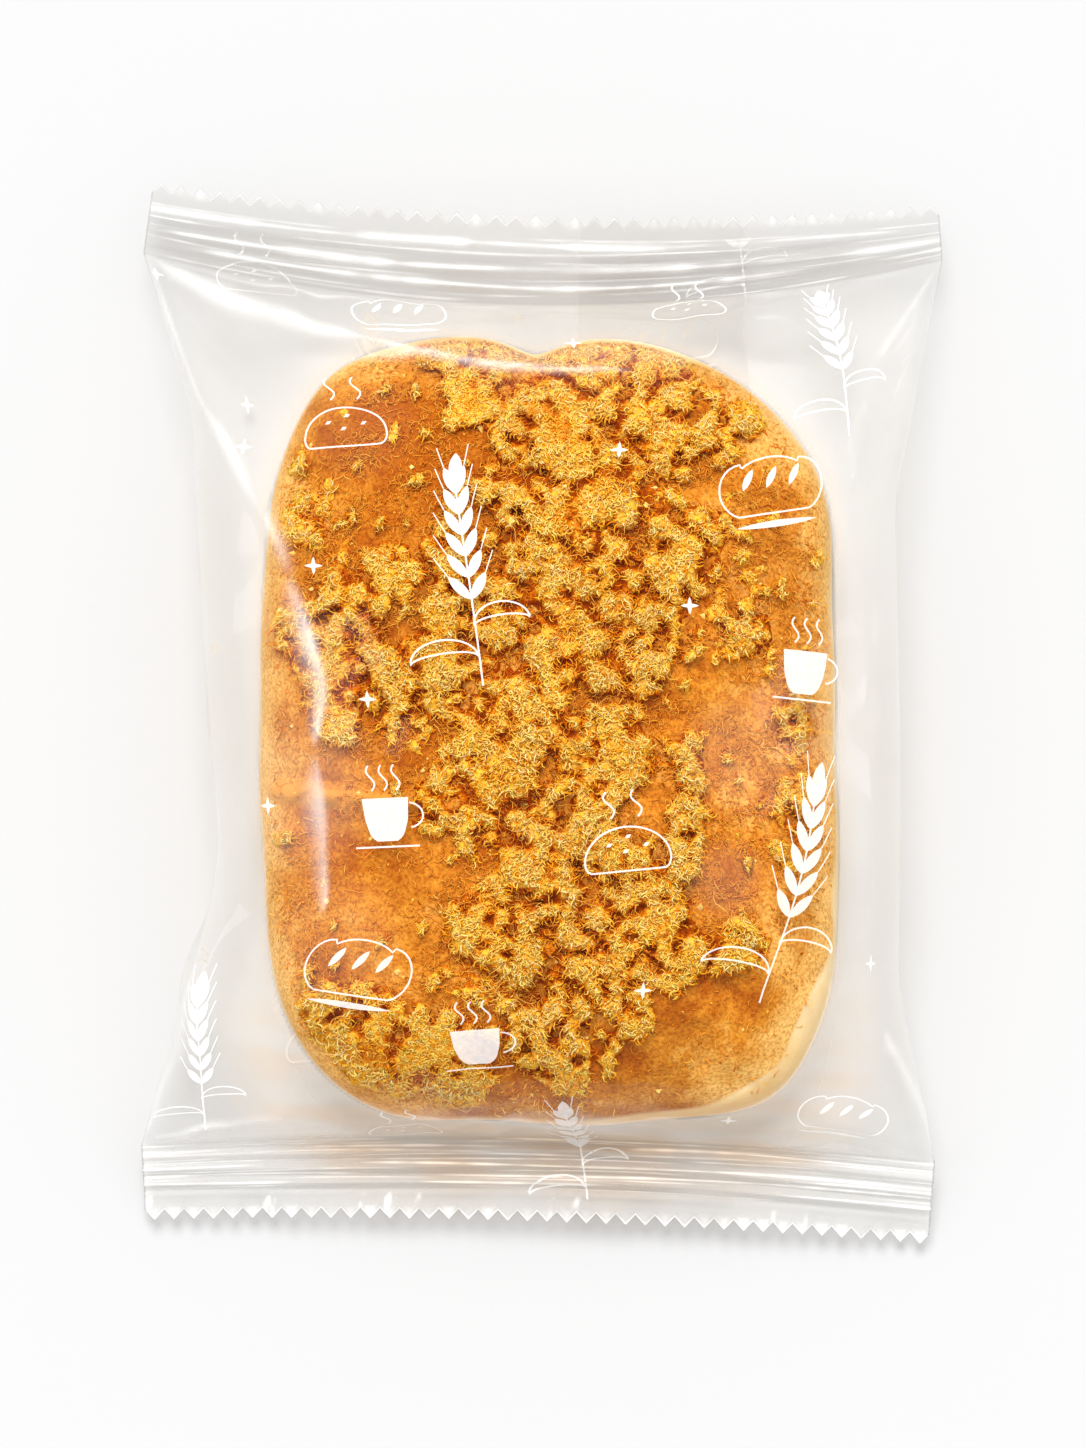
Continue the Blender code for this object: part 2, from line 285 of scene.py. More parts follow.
def side_x(points, y):
    """The side outline's x at y: straight runs between its points, with the kinks rounded off."""
    ys, xs = zip(*points)
    from_end = min(ys[-1] - y, y - ys[0])
    spread = KINK_SOFTNESS * min(max(from_end / EAR_END, 0.0), 1.0)
    before, here, after = np.interp((y - spread, y, y + spread), ys, xs)
    return (before + 2 * here + after) / 4


def evenly(x, z):
    """A section's points, one for each column, spaced evenly by length."""
    along = np.concatenate(([0.0], np.cumsum(np.hypot(np.diff(x), np.diff(z)))))
    wanted = np.linspace(0, along[-1], COLUMNS + 1)
    return np.interp(wanted, along, x), np.interp(wanted, along, z)


def upper_section(left, right, edge, top, fullness):
    turn = np.linspace(0, np.pi, SECTION_STEPS + 1)
    across, up = np.cos(turn), np.maximum(np.sin(turn), 0.0)
    half = (right - left) / 2
    x = (left + right) / 2 - np.sign(across) * half * np.abs(across) ** (2 / fullness)
    return evenly(x, edge + (top - edge) * up ** (2 / fullness))


def lower_section(left, right, edge, base, flat):
    across = -np.cos(np.linspace(0, np.pi, SECTION_STEPS + 1))
    half = (right - left) / 2
    outside = np.maximum(np.abs(across) * half - flat, 0.0) / (half - flat)
    return evenly((left + right) / 2 + half * across, base + (edge - base) * outside ** UNDERSIDE_CURVE)


def seal_height(upper, s, outward):
    inner = UPPER_SEAL_HEIGHT if upper else LOWER_SEAL_HEIGHT
    return inner - SEAL_DROOP * outward - CORNER_DROOP * s * s


ACROSS = np.linspace(-1, 1, COLUMNS + 1)


def crimp(outward, upper):
    """The jaws' ridges, a little uneven along the seal, fading out at both of its edges."""
    place = outward / CRIMP_SHARE
    seed = 11 if upper else 12
    drift = CRIMP_DRIFT * waves(ACROSS * 60, np.zeros_like(ACROSS), 55, seed, 8)
    strength = 0.85 + 0.25 * waves(ACROSS * 60, np.full_like(ACROSS, 9 * outward), 20, seed + 5, 10)
    wave = np.cos(2 * np.pi * (RIDGES * place + drift))
    sharp = np.sign(wave) * np.abs(wave) ** CRIMP_SHARPNESS
    fade = smooth(place * 6) * smooth((1 - place) * 5)
    return RIDGE_RISE * np.clip(strength, 0.2, 1.3) * sharp * fade


def tooth_share():
    """The zigzag at each column: 0 between teeth and 1 at their tips."""
    return 1 - np.abs(np.arange(COLUMNS + 1) % STEPS_PER_TOOTH / (STEPS_PER_TOOTH / 2) - 1)


def seal_row(upper, outward):
    """One row across an end seal. outward runs from 0 at the inner line to 1 at the cut."""
    inner, cut = (UPPER_INNER, UPPER_CUT) if upper else (LOWER_INNER, LOWER_CUT)
    ends_cut = UPPER_CUT_X if upper else LOWER_CUT_X
    ends = [side_x(side, plan_line(inner, s)) for side, s in ((LEFT_SIDE, -1), (RIGHT_SIDE, 1))]
    left, right = (mix(a, b, outward) for a, b in zip(ends, ends_cut))
    x = mix(left, right, (ACROSS + 1) / 2)
    y = mix(plan_line(inner, ACROSS), plan_line(cut, ACROSS), outward)
    z = seal_height(upper, ACROSS, outward) + crimp(outward, upper)
    buckle = BUCKLE * waves(x, np.zeros_like(x), 11, 21 if upper else 22, 10)
    z = z + buckle * smooth((outward - BUCKLE_FROM) / (1 - BUCKLE_FROM))
    reach = max(outward - TOOTH_ROOT, 0) / (1 - TOOTH_ROOT)
    y = y + (TOOTH_DEPTH if upper else -TOOTH_DEPTH) * tooth_share() * reach
    half_ply = np.full_like(x, PLY / 2 if outward < 1 else 0.0)
    return np.stack([x, y, z + half_ply], 1), np.stack([x, y, z - half_ply], 1)


def body_row(w):
    """One row around the pillow. w runs from -1 at the lower seal to +1 at the upper one."""
    upper = w > 0
    line = UPPER_INNER if upper else LOWER_INNER
    blend = abs(w) ** BOW_POWER
    row_line = (line[0] * abs(w), line[1] * blend, line[2] * blend)
    left = side_x(LEFT_SIDE, plan_line(row_line, -1))
    right = side_x(RIGHT_SIDE, plan_line(row_line, 1))
    seal = UPPER_SEAL_HEIGHT if upper else LOWER_SEAL_HEIGHT
    full = (1 - abs(w) ** ALONG_POWER) ** (1 / (UPPER_ALONG_ROOT if upper else LOWER_ALONG_ROOT))
    top = mix(seal + PLY / 2, CROWN, full)
    edge = mix(seal_height(upper, 1, 0), SIDE_HEIGHT, 1 - w * w)
    lift = max(abs(w) - BASE_REACH, 0.0) / (1 - BASE_REACH)
    base = mix(BASE_CLEARANCE, seal - PLY / 2, lift ** 2)
    flat = BASE_HALF_WIDTH * (1 - lift ** 2)
    y = plan_line(row_line, ACROSS)
    over = upper_section(left, right, edge, top, mix(ROUND_END, ROUND_MIDDLE, full))
    under = lower_section(left, right, edge, base, flat)
    return np.stack([over[0], y, over[1]], 1), np.stack([under[0], y, under[1]], 1)


def film_grids():
    """The upper and the lower film as grids of points, rows from the lower cut to the upper one."""
    outwards = np.linspace(1, 0, SEAL_ROWS + 1)
    steps = np.linspace(-1, 1, BODY_ROWS + 1)[1:-1]
    eased = mix(steps, np.sin(np.pi / 2 * steps), 0.5)
    rows = [seal_row(False, t) for t in outwards]
    rows += [body_row(w) for w in eased]
    rows += [seal_row(True, t) for t in outwards[::-1]]
    over, under = (np.array(side) for side in zip(*rows))
    return over, under


def grid_normals(grid):
    along, across = np.gradient(grid, axis=0), np.gradient(grid, axis=1)
    normal = np.cross(across, along)
    return normal / np.maximum(np.linalg.norm(normal, axis=2, keepdims=True), 1e-9)


def body_fade(shape, rows, columns):
    """1 in the pillow's middle, easing to 0 over so many rows and columns at its seals and sides."""
    j, i = np.indices(shape)
    from_seal = np.minimum(j - SEAL_ROWS, shape[0] - 1 - SEAL_ROWS - j)
    from_side = np.minimum(i, COLUMNS - i)
    return smooth(from_seal / rows) * smooth(from_side / columns)


def crease_rise(x, y):
    """How far the creases lift the film at each place."""
    rise = np.zeros(x.shape)
    for number, (points, height, half_width) in enumerate(CREASES):
        away, along = line_distance(x + 0.2 * waves(x, y, 20, 30 + number, 6), y, rounded(points))
        taper = smooth((1 - along) * 4) * (0.35 + 0.65 * smooth(along * 5))
        rise += height * np.exp(-np.sqrt(away ** 2 + 0.3 ** 2) / half_width) * taper
    return rise


# How much painted white covers the film where a painted glint is strongest
GLINT_COVER, SEAL_GLINT_COVER = 0.46, 0.56


def ahead_of(line, along):
    """The polyline's own point a share of the way along it."""
    places = np.linspace(0, 1, len(line))
    return [np.interp(along, places, axis) for axis in zip(*line)]


def streak_share(x, y):
    """How white the painted glints are at each place: a soft line, often wider on its left."""
    share = np.zeros(x.shape)
    for points, widths, left, strength in STREAKS:
        line = rounded(points)
        away, along = line_distance(x, y, line)
        width = np.interp(along, np.linspace(0, 1, len(widths)), widths)
        here_x, here_y = ahead_of(line, along)
        (next_x, next_y), (last_x, last_y) = ahead_of(line, along + 0.02), ahead_of(line, along - 0.02)
        on_left = (next_x - last_x) * (y - here_y) - (next_y - last_y) * (x - here_x) < 0
        width = np.where(on_left, width * left, width)
        patchy = np.clip(0.88 + 0.12 * waves(x, y, 9, 75, 10), 0.5, 1.1)
        taper = smooth(along * 6) * smooth((1 - along) * 6)
        share = np.maximum(share, strength * np.exp(-(away / width) ** 1.3) * taper * patchy)
    return GLINT_COVER * np.clip(share, 0, 1)


# Painted highlights, white lines along the seals' crests: how far out each lies, its half width and its
# strength
UPPER_GLINTS = (
    (0.04, 0.012, 0.5), (0.12, 0.010, 0.35), (0.23, 0.030, 0.65), (0.31, 0.010, 0.4), (0.44, 0.040, 0.75),
    (0.52, 0.010, 0.4), (0.63, 0.012, 0.6), (0.75, 0.032, 0.7), (0.82, 0.010, 0.4),
)
LOWER_GLINTS = (
    (0.03, 0.010, 0.8), (0.07, 0.008, 0.5), (0.13, 0.014, 1.0), (0.19, 0.007, 0.6), (0.25, 0.010, 0.8),
    (0.30, 0.007, 0.6), (0.37, 0.012, 1.0), (0.44, 0.008, 0.7), (0.50, 0.012, 1.0), (0.56, 0.007, 0.6),
    (0.62, 0.011, 1.0), (0.68, 0.006, 0.5),
)
# How bright the painted highlights on the cut and its teeth are, and how far out along a seal each begins
UPPER_CUT_GLINT, LOWER_CUT_GLINT, CUT_LINE = 0.35, 1.0, 0.985
UPPER_TOOTH_GLINT, LOWER_TOOTH_GLINT, TOOTH_GLINT_FROM = 0.4, 0.9, 0.90
CRUMPLE_FROM, CRUMPLE_LEAN = 0.74, 4.0
# Painted highlights on crumples at the lower cut: where each lies, its half width and its strength
CRUMPLES = (
    (-60.5, 0.5, 0.7), (-42.0, 0.3, 0.7), (-41.0, 0.2, 0.5), (-27.5, 0.2, 0.5), (-23.5, 0.4, 0.8),
    (-22.6, 0.2, 0.6), (-19.0, 0.3, 0.7), (2.0, 0.3, 0.5), (5.5, 0.4, 0.6), (36.0, 0.3, 0.4),
    (41.0, 0.3, 0.4),
)


def seal_glints(x, outward, upper):
    """Painted highlights: broken white lines along a seal's crests, thin glints up its crumples, and its
    bright cut.
    """
    seed = 400 if upper else 500
    share = np.zeros(x.shape)
    for number, (place, half_width, strength) in enumerate(UPPER_GLINTS if upper else LOWER_GLINTS):
        drift = 0.010 * waves(x, 0 * x, 50, seed + number, 6)
        broken = smooth(0.7 + 0.6 * waves(x, 0 * x, 34, seed + 20 + number, 10))
        fine = 0.85 + 0.2 * waves(x, 0 * x, 6, seed + 40 + number, 10)
        width = half_width * (0.7 + 0.6 * smooth(0.5 + waves(x, 0 * x, 26, seed + 60 + number, 8)))
        line = np.exp(-((outward - place - drift) / width) ** 2)
        share = np.maximum(share, strength * line * broken * np.clip(fine, 0.3, 1.1))
    patchy = 0.5 + 0.5 * smooth(0.6 + 0.6 * waves(x, 0 * x, 5, seed + 73, 10))
    share = np.maximum(share, (UPPER_CUT_GLINT if upper else LOWER_CUT_GLINT) * patchy * (outward > CUT_LINE))
    own = np.random.default_rng(seed).uniform(0, 1, TEETH + 1)[np.arange(COLUMNS + 1) // STEPS_PER_TOOTH] ** 2
    tips = own * (UPPER_TOOTH_GLINT if upper else LOWER_TOOTH_GLINT) * tooth_share() ** 2
    share = np.maximum(share, tips * smooth((outward - TOOTH_GLINT_FROM) / 0.05))
    if not upper:
        uneven = np.clip(0.6 + 0.5 * waves(x, 5 * outward, 1.5, seed + 74, 12), 0, 1)
        for place, half_width, strength in CRUMPLES:
            away = (x - place + CRUMPLE_LEAN * (outward - 0.85)) / half_width
            tall = smooth((outward - CRUMPLE_FROM) / 0.12)
            share = np.maximum(share, strength * np.exp(-away ** 2) * tall * uneven)
    return SEAL_GLINT_COVER * np.clip(share, 0, 1)


# The gathers at the upper and the lower seal: their reach, and their level waves' length, reach and seed
GATHERS = ((7, 3.1, 3.5, 43), (6, 2.8, 3.0, 44))
GATHER_RISE, LEVEL_RISE, SLACK_RISE, UNEVEN_RISE = 0.28, 0.28, 0.32, 0.07
SLACK_FROM = 38  # how far from the middle the slack begins


def pleat_fields(over):
    """Fine gathers that run out of the seals, and lengthwise slack beside the bun."""
    x, y = over[..., 0], over[..., 1]
    near, level = np.zeros(x.shape), np.zeros(x.shape)
    from_seals = (plan_line(UPPER_INNER, ACROSS) - y, y - plan_line(LOWER_INNER, ACROSS))
    for away, (reach, length, fade, seed) in zip(from_seals, GATHERS):
        away = np.maximum(away, 0)
        near += np.exp(-away / reach)
        level += np.sin(2 * np.pi * (away + 0.8 * waves(x, y, 26, seed, 8)) / length) * np.exp(-away / fade)
    gathers = waves(x, y * 0.2, 9, 41, 18)
    slack = waves(x * 1.6, y * 0.5, 16, 45, 20) * smooth((np.abs(x) - SLACK_FROM) / 8)
    uneven = UNEVEN_RISE * waves(x, y, 12, 46, 20)
    return GATHER_RISE * gathers * near + LEVEL_RISE * level + SLACK_RISE * slack + uneven


# Painted sheen on the film beyond the bun: all over it, and what is added on the right and above; below it,
# painted light lifts the bun's shadow.
# Places are shares of the way from the bun's centre to its rim.
SHEEN_ALL_OVER, SHEEN_RIGHT, SHEEN_ABOVE, LIFT_BELOW = 0.028, 0.06, 0.03, 0.19
LIFT_NEAR, LIFT_REACH = 0.11, 0.13  # painted light close to the bun that lifts its contact shade, and how fast it fades
# painted light in a thin ring at the rim that lifts the contact shade there, and how fast it fades
LIFT_RING, RING_REACH = 0.07, 0.03
PAINT_START = 0.011  # how far inside the rim the painted sheen and the painted bounce begin
# painted light that lifts the bun's shadow off the lower seal
LOWER_SEAL_LIFT = 0.19
# Painted bounce of the bun's colour in the film: in a thin ring, below the bun, and how far below the bun
# both it and the lifting reach
BOUNCE_CLOSE, BOUNCE_BELOW, BELOW_BUN_REACH = 0.55, 0.9, 0.19

# Painted sheen on the film over the bun: centre, radius and weight
SHEENS = (
    ((-38.0, -12.0), 11.0, 0.050), ((-38.0, 8.0), 8.0, 0.020), ((31.0, -6.0), 8.0, 0.030),
    ((28.0, -25.0), 5.0, 0.025), ((-28.0, 44.0), 8.0, 0.010), ((-32.0, -34.0), 9.0, 0.025),
)


def below_bun(beyond, turn):
    """1 just below the bun, where the painted light that lifts its shadow and the painted bounce of its
    colour go, fading out sideways and towards the seal.
    """
    return smooth((-np.sin(turn) - 0.5) / 0.5) * smooth(1.4 - beyond / BELOW_BUN_REACH)


def painted_film_light(x, y):
    """Painted sheen on the film beyond the bun, where it slopes down, painted light that lifts the bun's
    shade round and below it, and painted sheen patches over the bun.
    """
    beyond, turn = past_rim(x, y)
    out = np.maximum(beyond, 0)
    near = LIFT_NEAR * np.exp(-out / LIFT_REACH) + LIFT_RING * np.exp(-out / RING_REACH)
    sides = SHEEN_RIGHT * np.maximum(np.cos(turn), 0) + SHEEN_ABOVE * np.maximum(np.sin(turn), 0)
    painted_sheen = SHEEN_ALL_OVER + sides + near + LIFT_BELOW * below_bun(beyond, turn)
    past = smooth(0.5 + (beyond + PAINT_START) / 0.01)
    return mix(patches(x, y, SHEENS), painted_sheen, past)


def painted_bun_bounce(x, y):
    """How much of the bun's colour is painted into the film beside it as bounce light: a thin ring, and most
    of it below the bun.
    """
    beyond, turn = past_rim(x, y)
    ring = BOUNCE_CLOSE * np.exp(-np.maximum(beyond, 0) / 0.02)
    uneven = np.clip(0.85 + 0.25 * waves(x * 0.3, y, 5, 61, 12), 0.4, 1.2)
    below = BOUNCE_BELOW * below_bun(beyond, turn) * uneven
    return np.maximum(ring, below) * smooth(0.5 + (beyond + PAINT_START) / 0.02)


def shaped_film():
    """The film's two grids with their folds, and the painted highlights, sheen and bounce of the upper one.
    """
    over, under = film_grids()
    fade = body_fade(over.shape[:2], 5, 5)
    x, y = over[..., 0].copy(), over[..., 1].copy()
    lift = (crease_rise(x, y) + pleat_fields(over)) * fade
    over = over + grid_normals(over) * lift[..., None]
    ripple = 0.25 * waves(under[..., 0], under[..., 1], 14, 51, 20)
    free = smooth((under[..., 2] - 0.8) / 2.0) * body_fade(under.shape[:2], 8, 8)
    under = under.copy()
    under[..., 2] += ripple * free
    painted_sheen = painted_film_light(x, y)
    painted_light = np.maximum(streak_share(x, y), painted_sheen)
    outward = np.linspace(1, 0, SEAL_ROWS + 1)[:, None] * np.ones((1, COLUMNS + 1))
    # The seals take painted highlights; the lower one also takes painted light that lifts the bun's shadow
    # off it
    lower_painted_sheen = np.maximum(painted_sheen[:SEAL_ROWS + 1] * (1 - outward), LOWER_SEAL_LIFT)
    painted_light[:SEAL_ROWS + 1] = seal_glints(x[:SEAL_ROWS + 1], outward, False) + lower_painted_sheen
    painted_light[-SEAL_ROWS - 1:] = seal_glints(x[-SEAL_ROWS - 1:], outward[::-1], True)
    return over, under, painted_light, painted_bun_bounce(x, y)


# Meshes

def in_scene(name, data):
    """A new object in the scene that holds a mesh, a light or a camera."""
    thing = bpy.data.objects.new(name, data)
    bpy.context.scene.collection.objects.link(thing)
    return thing


def mesh_object(name, points, faces, material, slot, smooth_faces=True, **fields):
    """A piece of the pack from points in millimetres. fields are numbers for its material, one a point."""
    mesh = bpy.data.meshes.new(name)
    mesh.from_pydata((np.asarray(points, float) + np.array(PLACE)) * METRES, [], faces)
    mesh.polygons.foreach_set("use_smooth", np.full(len(mesh.polygons), smooth_faces))
    mesh.materials.append(material)
    piece = in_scene(name, mesh)
    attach(piece, BODY)
    for field, values in fields.items():
        attribute = mesh.attributes.new(field, "FLOAT", "POINT")
        attribute.data.foreach_set("value", np.asarray(values, np.float32).ravel())
    return piece


def quads(ids):
    """Faces of a grid of point numbers, facing up when rows run along +Y and columns along +X."""
    return np.stack([ids[:-1, :-1], ids[:-1, 1:], ids[1:, 1:], ids[1:, :-1]], -1).reshape(-1, 4)


def film_faces(shape):
    """The closed tube's faces, upper film first. Both films share the points of their sides and cuts."""
    count = shape[0] * shape[1]
    over_ids = np.arange(count).reshape(shape)
    under_ids = over_ids + count
    under_ids[:, [0, -1]] = over_ids[:, [0, -1]]
    under_ids[[0, -1], :] = over_ids[[0, -1], :]
    return np.concatenate([quads(over_ids), quads(under_ids)[:, ::-1]])


def compact(points, faces, *fields):
    """Leaves out the points that no face uses."""
    used = np.unique(faces)
    renumber = np.full(len(points), -1)
    renumber[used] = np.arange(len(used))
    return (points[used], renumber[faces], *(field[used] for field in fields))


def film_piece(over, under, painted_light, glow, look):
    """The closed tube of film, which takes the place of the frame's solid."""
    points = np.concatenate([over.reshape(-1, 3), under.reshape(-1, 3)])
    rows = np.indices(painted_light.shape)[0]
    sealed = (rows <= SEAL_ROWS) | (rows >= len(painted_light) - 1 - SEAL_ROWS)
    pairs = ((painted_light, 0 * painted_light), (sealed, sealed), (glow, 0 * glow))
    fields = [np.concatenate([upper.ravel(), lower.ravel()]) for upper, lower in pairs]
    points, faces, *fields = compact(points, film_faces(painted_light.shape), *fields)
    fields = dict(zip(("whitening", "sealed", "glow"), fields))
    film = mesh_object("film", points, faces.tolist(), look, "clear_film", **fields)
    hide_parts(PACK)


def fin_piece(under, look):
    """The tube's lengthwise seam, folded flat under the pack from seal to seal."""
    first, last = (round((x / SHEET_WIDTH + 0.5) * COLUMNS) for x in (FIN_FROM, FIN_TO))
    strip = under[:, first:last + 1].copy()
    strip[..., 2] = np.maximum(strip[..., 2] - FIN_GAP, FIN_LOWEST)
    ids = np.arange(strip.shape[0] * strip.shape[1]).reshape(strip.shape[:2])
    # Painted highlights along the seam's two edges
    painted_light = np.zeros(strip.shape[:2])
    painted_light[:, [0, -1]] = FIN_EDGE_GLINT
    faces = quads(ids)[:, ::-1].tolist()
    sealed = np.full(strip.shape[:2], FIN_SEALED)
    mesh_object("film_fin", strip.reshape(-1, 3), faces, look, "clear_film", sealed=sealed, whitening=painted_light)


# Heights read back from finished surfaces

GRID_STEP = 0.4
GRID_X, GRID_Y = 64.0, 84.0  # how far the grid reaches to each side
RAY_START = 100.0


class Heights:
    """Heights on a square grid, read between its points."""

    def __init__(self, values):
        self.values = values

    @classmethod
    def of(cls, points, faces, missing=0.0):
        """The upper side of a surface as seen from above."""
        tree = BVHTree.FromPolygons([tuple(p) for p in points], faces)
        x, y = grid_places()
        values = np.full(x.shape, missing)
        down = Vector((0, 0, -1))
        for place in np.ndindex(x.shape):
            hit = tree.ray_cast(Vector((x[place], y[place], RAY_START)), down)[0]
            if hit:
                values[place] = hit.z
        return cls(values)

    def at(self, x, y):
        """Heights at places in between, each from the four points round it."""
        column = np.clip((x + GRID_X) / GRID_STEP, 0, self.values.shape[1] - 1.001)
        row = np.clip((y + GRID_Y) / GRID_STEP, 0, self.values.shape[0] - 1.001)
        i, j = column.astype(int), row.astype(int)
        a, b = column - i, row - j
        low = mix(self.values[j, i], self.values[j, i + 1], a)
        high = mix(self.values[j + 1, i], self.values[j + 1, i + 1], a)
        return mix(low, high, b)


def grid_places():
    """The grid's points, as two arrays."""
    x = np.arange(-GRID_X, GRID_X + GRID_STEP / 2, GRID_STEP)
    y = np.arange(-GRID_Y, GRID_Y + GRID_STEP / 2, GRID_STEP)
    return np.meshgrid(x, y)


# The bun

BUN_TOP = 39.0
WIDEST_HEIGHT = 13.0
BUN_BASE = 0.5
CROWN_POWERS = (2.7, 2.15)
UNDER_POWER = 4.0
BUN_TURNS, BUN_TOP_RINGS, BUN_LOW_RINGS = 360, 120, 36
FILM_GAP = 0.5
PALE_BELOW, PALE_RISE, PALE_TOWARDS = 17.5, 5.5, math.radians(-56)  # higher on the side that shows
LEAN = (-0.055, 0.040)  # how far the top stands off the base, for each millimetre of height
BASE_SHARE = 0.82  # the flat base's size, as a share of the widest line's
OVER_CROWDING, UNDER_CROWDING = 0.85, 0.15  # how the rings crowd towards the rim, over and under it

# The crust's dents: height, size, seed and count of their waves
DENTS = ((0.55, 24, 81, 16), (0.20, 9, 82, 20), (0.05, 3.2, 83, 24))
# Grooves in the crust: the points each runs through, its depth and its half width
GROOVES = (
    (((17.8, 9.0), (17.0, 2.0), (18.6, -8.0)), 0.9, 1.1),
    (((24.0, -37.0), (27.5, -41.0), (31.0, -44.5)), 0.8, 1.3),
    (((23.8, -46.0), (24.4, -55.0)), 1.0, 1.0),
    (((-30.0, -10.8), (-39.0, -9.5)), 0.5, 0.9),
    (((27.0, 17.0), (33.0, 5.0)), 0.4, 1.6),
    (((-36.0, 22.0), (-31.0, 14.0), (-25.0, 12.0)), 0.5, 1.4),
)
# The strip of baked topping that runs in from the left side
STRIP = ((-40.0, -11.6), (-28.0, -13.2), (-13.0, -14.0))
STRIP_RISE, STRIP_HALF_WIDTH = 1.7, 2.0
# Where the crust is browner: centre, radius and weight
BROWNED = (
    ((-14.0, 41.0), 9.0, 0.8), ((-20.0, 12.0), 7.0, 0.8), ((-8.0, -20.0), 7.0, 0.6),
    ((-29.0, -22.0), 8.0, 0.3), ((24.0, -44.0), 11.0, 0.5), ((-18.0, -3.0), 5.0, 0.7),
    ((-30.0, 44.0), 8.0, 0.45), ((18.0, 0.0), 4.0, 0.4), ((24.0, 40.0), 6.0, 0.35),
    ((12.0, -58.0), 9.0, 0.6), ((-6.0, -58.0), 9.0, 0.6), ((-24.0, 30.0), 7.0, 0.5),
)


def bun_rings():
    """Rings of points from the bun's top centre out to its widest line and under to its base."""
    turn = np.linspace(0, 2 * np.pi, BUN_TURNS, endpoint=False)
    out_x, out_y = bun_outline(turn)
    across_power, up_power = CROWN_POWERS
    rings = []
    for k in range(1, BUN_TOP_RINGS + 1):
        share = math.sin(math.pi / 2 * (k / BUN_TOP_RINGS) ** OVER_CROWDING)
        height = (1 - share ** across_power) ** (1 / up_power)
        rings.append((share, mix(WIDEST_HEIGHT, BUN_TOP, height)))
    for k in range(1, BUN_LOW_RINGS + 1):
        share = 1 - UNDER_CROWDING * (k / BUN_LOW_RINGS) ** 2 if k < BUN_LOW_RINGS else BASE_SHARE
        in_from_rim = (share - BASE_SHARE) / (1 - BASE_SHARE)
        height = (1 - max(in_from_rim, 0) ** UNDER_POWER) ** (1 / UNDER_POWER)
        rings.append((share, mix(WIDEST_HEIGHT, BUN_BASE, height)))
    points = []
    for share, z in rings:
        x = BUN_CENTRE[0] + share * out_x
        y = BUN_CENTRE[1] + share * out_y
        lean_x, lean_y = (k * (z - WIDEST_HEIGHT) for k in LEAN)
        points.append(np.stack([x + lean_x, y + lean_y, np.full_like(x, z)], 1))
    return np.array(points)


def bun_relief(x, y):
    """Dents, wrinkles and the baked strip of the crust, as rise in millimetres."""
    rise = layers(x, y, DENTS)
    for points, depth, half_width in GROOVES:
        away, along = line_distance(x + 0.6 * waves(x, y, 8, 84, 8), y, points)
        rise -= depth * np.exp(-(away / half_width) ** 2) * smooth(4 * along * (1 - along) + 0.3)
    away, _ = line_distance(x, y + 0.35 * waves(x, y, 7, 85, 8), STRIP)
    rise += STRIP_RISE * smooth(1.3 - away / STRIP_HALF_WIDTH) * (0.8 + 0.2 * waves(x, y, 2.5, 86, 12))
    return rise


def crust_fields(x, y, full_height):
    """How pale, light at the sides, browned or covered by the strip the crust is at each place."""
    edge = 2.0 * waves(x, y, 14, 91, 12)
    towards = np.maximum(np.cos(past_rim(x, y)[1] - PALE_TOWARDS), 0)
    limit = PALE_BELOW + PALE_RISE * towards ** 12 + 0.4 * edge
    browned = np.clip(patches(x + edge, y - edge, BROWNED), 0, 1)
    away, _ = line_distance(x, y, STRIP)
    return {
        "pale": smooth((limit - full_height) / mix(6.0, 0.9, towards ** 4) + 0.4),
        "side": smooth((limit + 14 - full_height) / 14) * (1 - 0.8 * browned),
        "browned": browned,
        "strip": smooth(1.3 - away / STRIP_HALF_WIDTH),
    }


def bun_piece(film_heights):
    """The bun, closed and held under the film. Gives its points and faces."""
    rings = bun_rings()
    full_height = rings[..., 2].copy()
    upward = smooth((full_height - WIDEST_HEIGHT) / 12)
    upward[BUN_TOP_RINGS:] = 0
    rings[..., 2] += bun_relief(rings[..., 0], rings[..., 1]) * upward
    ceiling = np.maximum(film_heights.at(rings[..., 0], rings[..., 1]) - FILM_GAP, WIDEST_HEIGHT)
    rings[:BUN_TOP_RINGS, :, 2] = np.minimum(rings[..., 2], ceiling)[:BUN_TOP_RINGS]
    top, base = rings[0].mean(0), rings[-1].mean(0)
    points = np.concatenate([[top], rings.reshape(-1, 3), [base]])
    ids = np.arange(1, 1 + rings.shape[0] * BUN_TURNS).reshape(-1, BUN_TURNS)
    wrapped = np.concatenate([ids, ids[:, :1]], 1)
    faces = quads(wrapped)[:, ::-1].tolist()
    faces += [[0, a, b] for a, b in zip(wrapped[0, :-1], wrapped[0, 1:])]
    faces += [[len(points) - 1, b, a] for a, b in zip(wrapped[-1, :-1], wrapped[-1, 1:])]
    full_height = np.concatenate([[BUN_TOP], full_height.ravel(), [BUN_BASE]])
    fields = crust_fields(points[:, 0], points[:, 1], full_height)
    mesh_object("bun_crust", points, faces, crust_material(), "bun_crust", **fields)
    return points, faces


# The floss

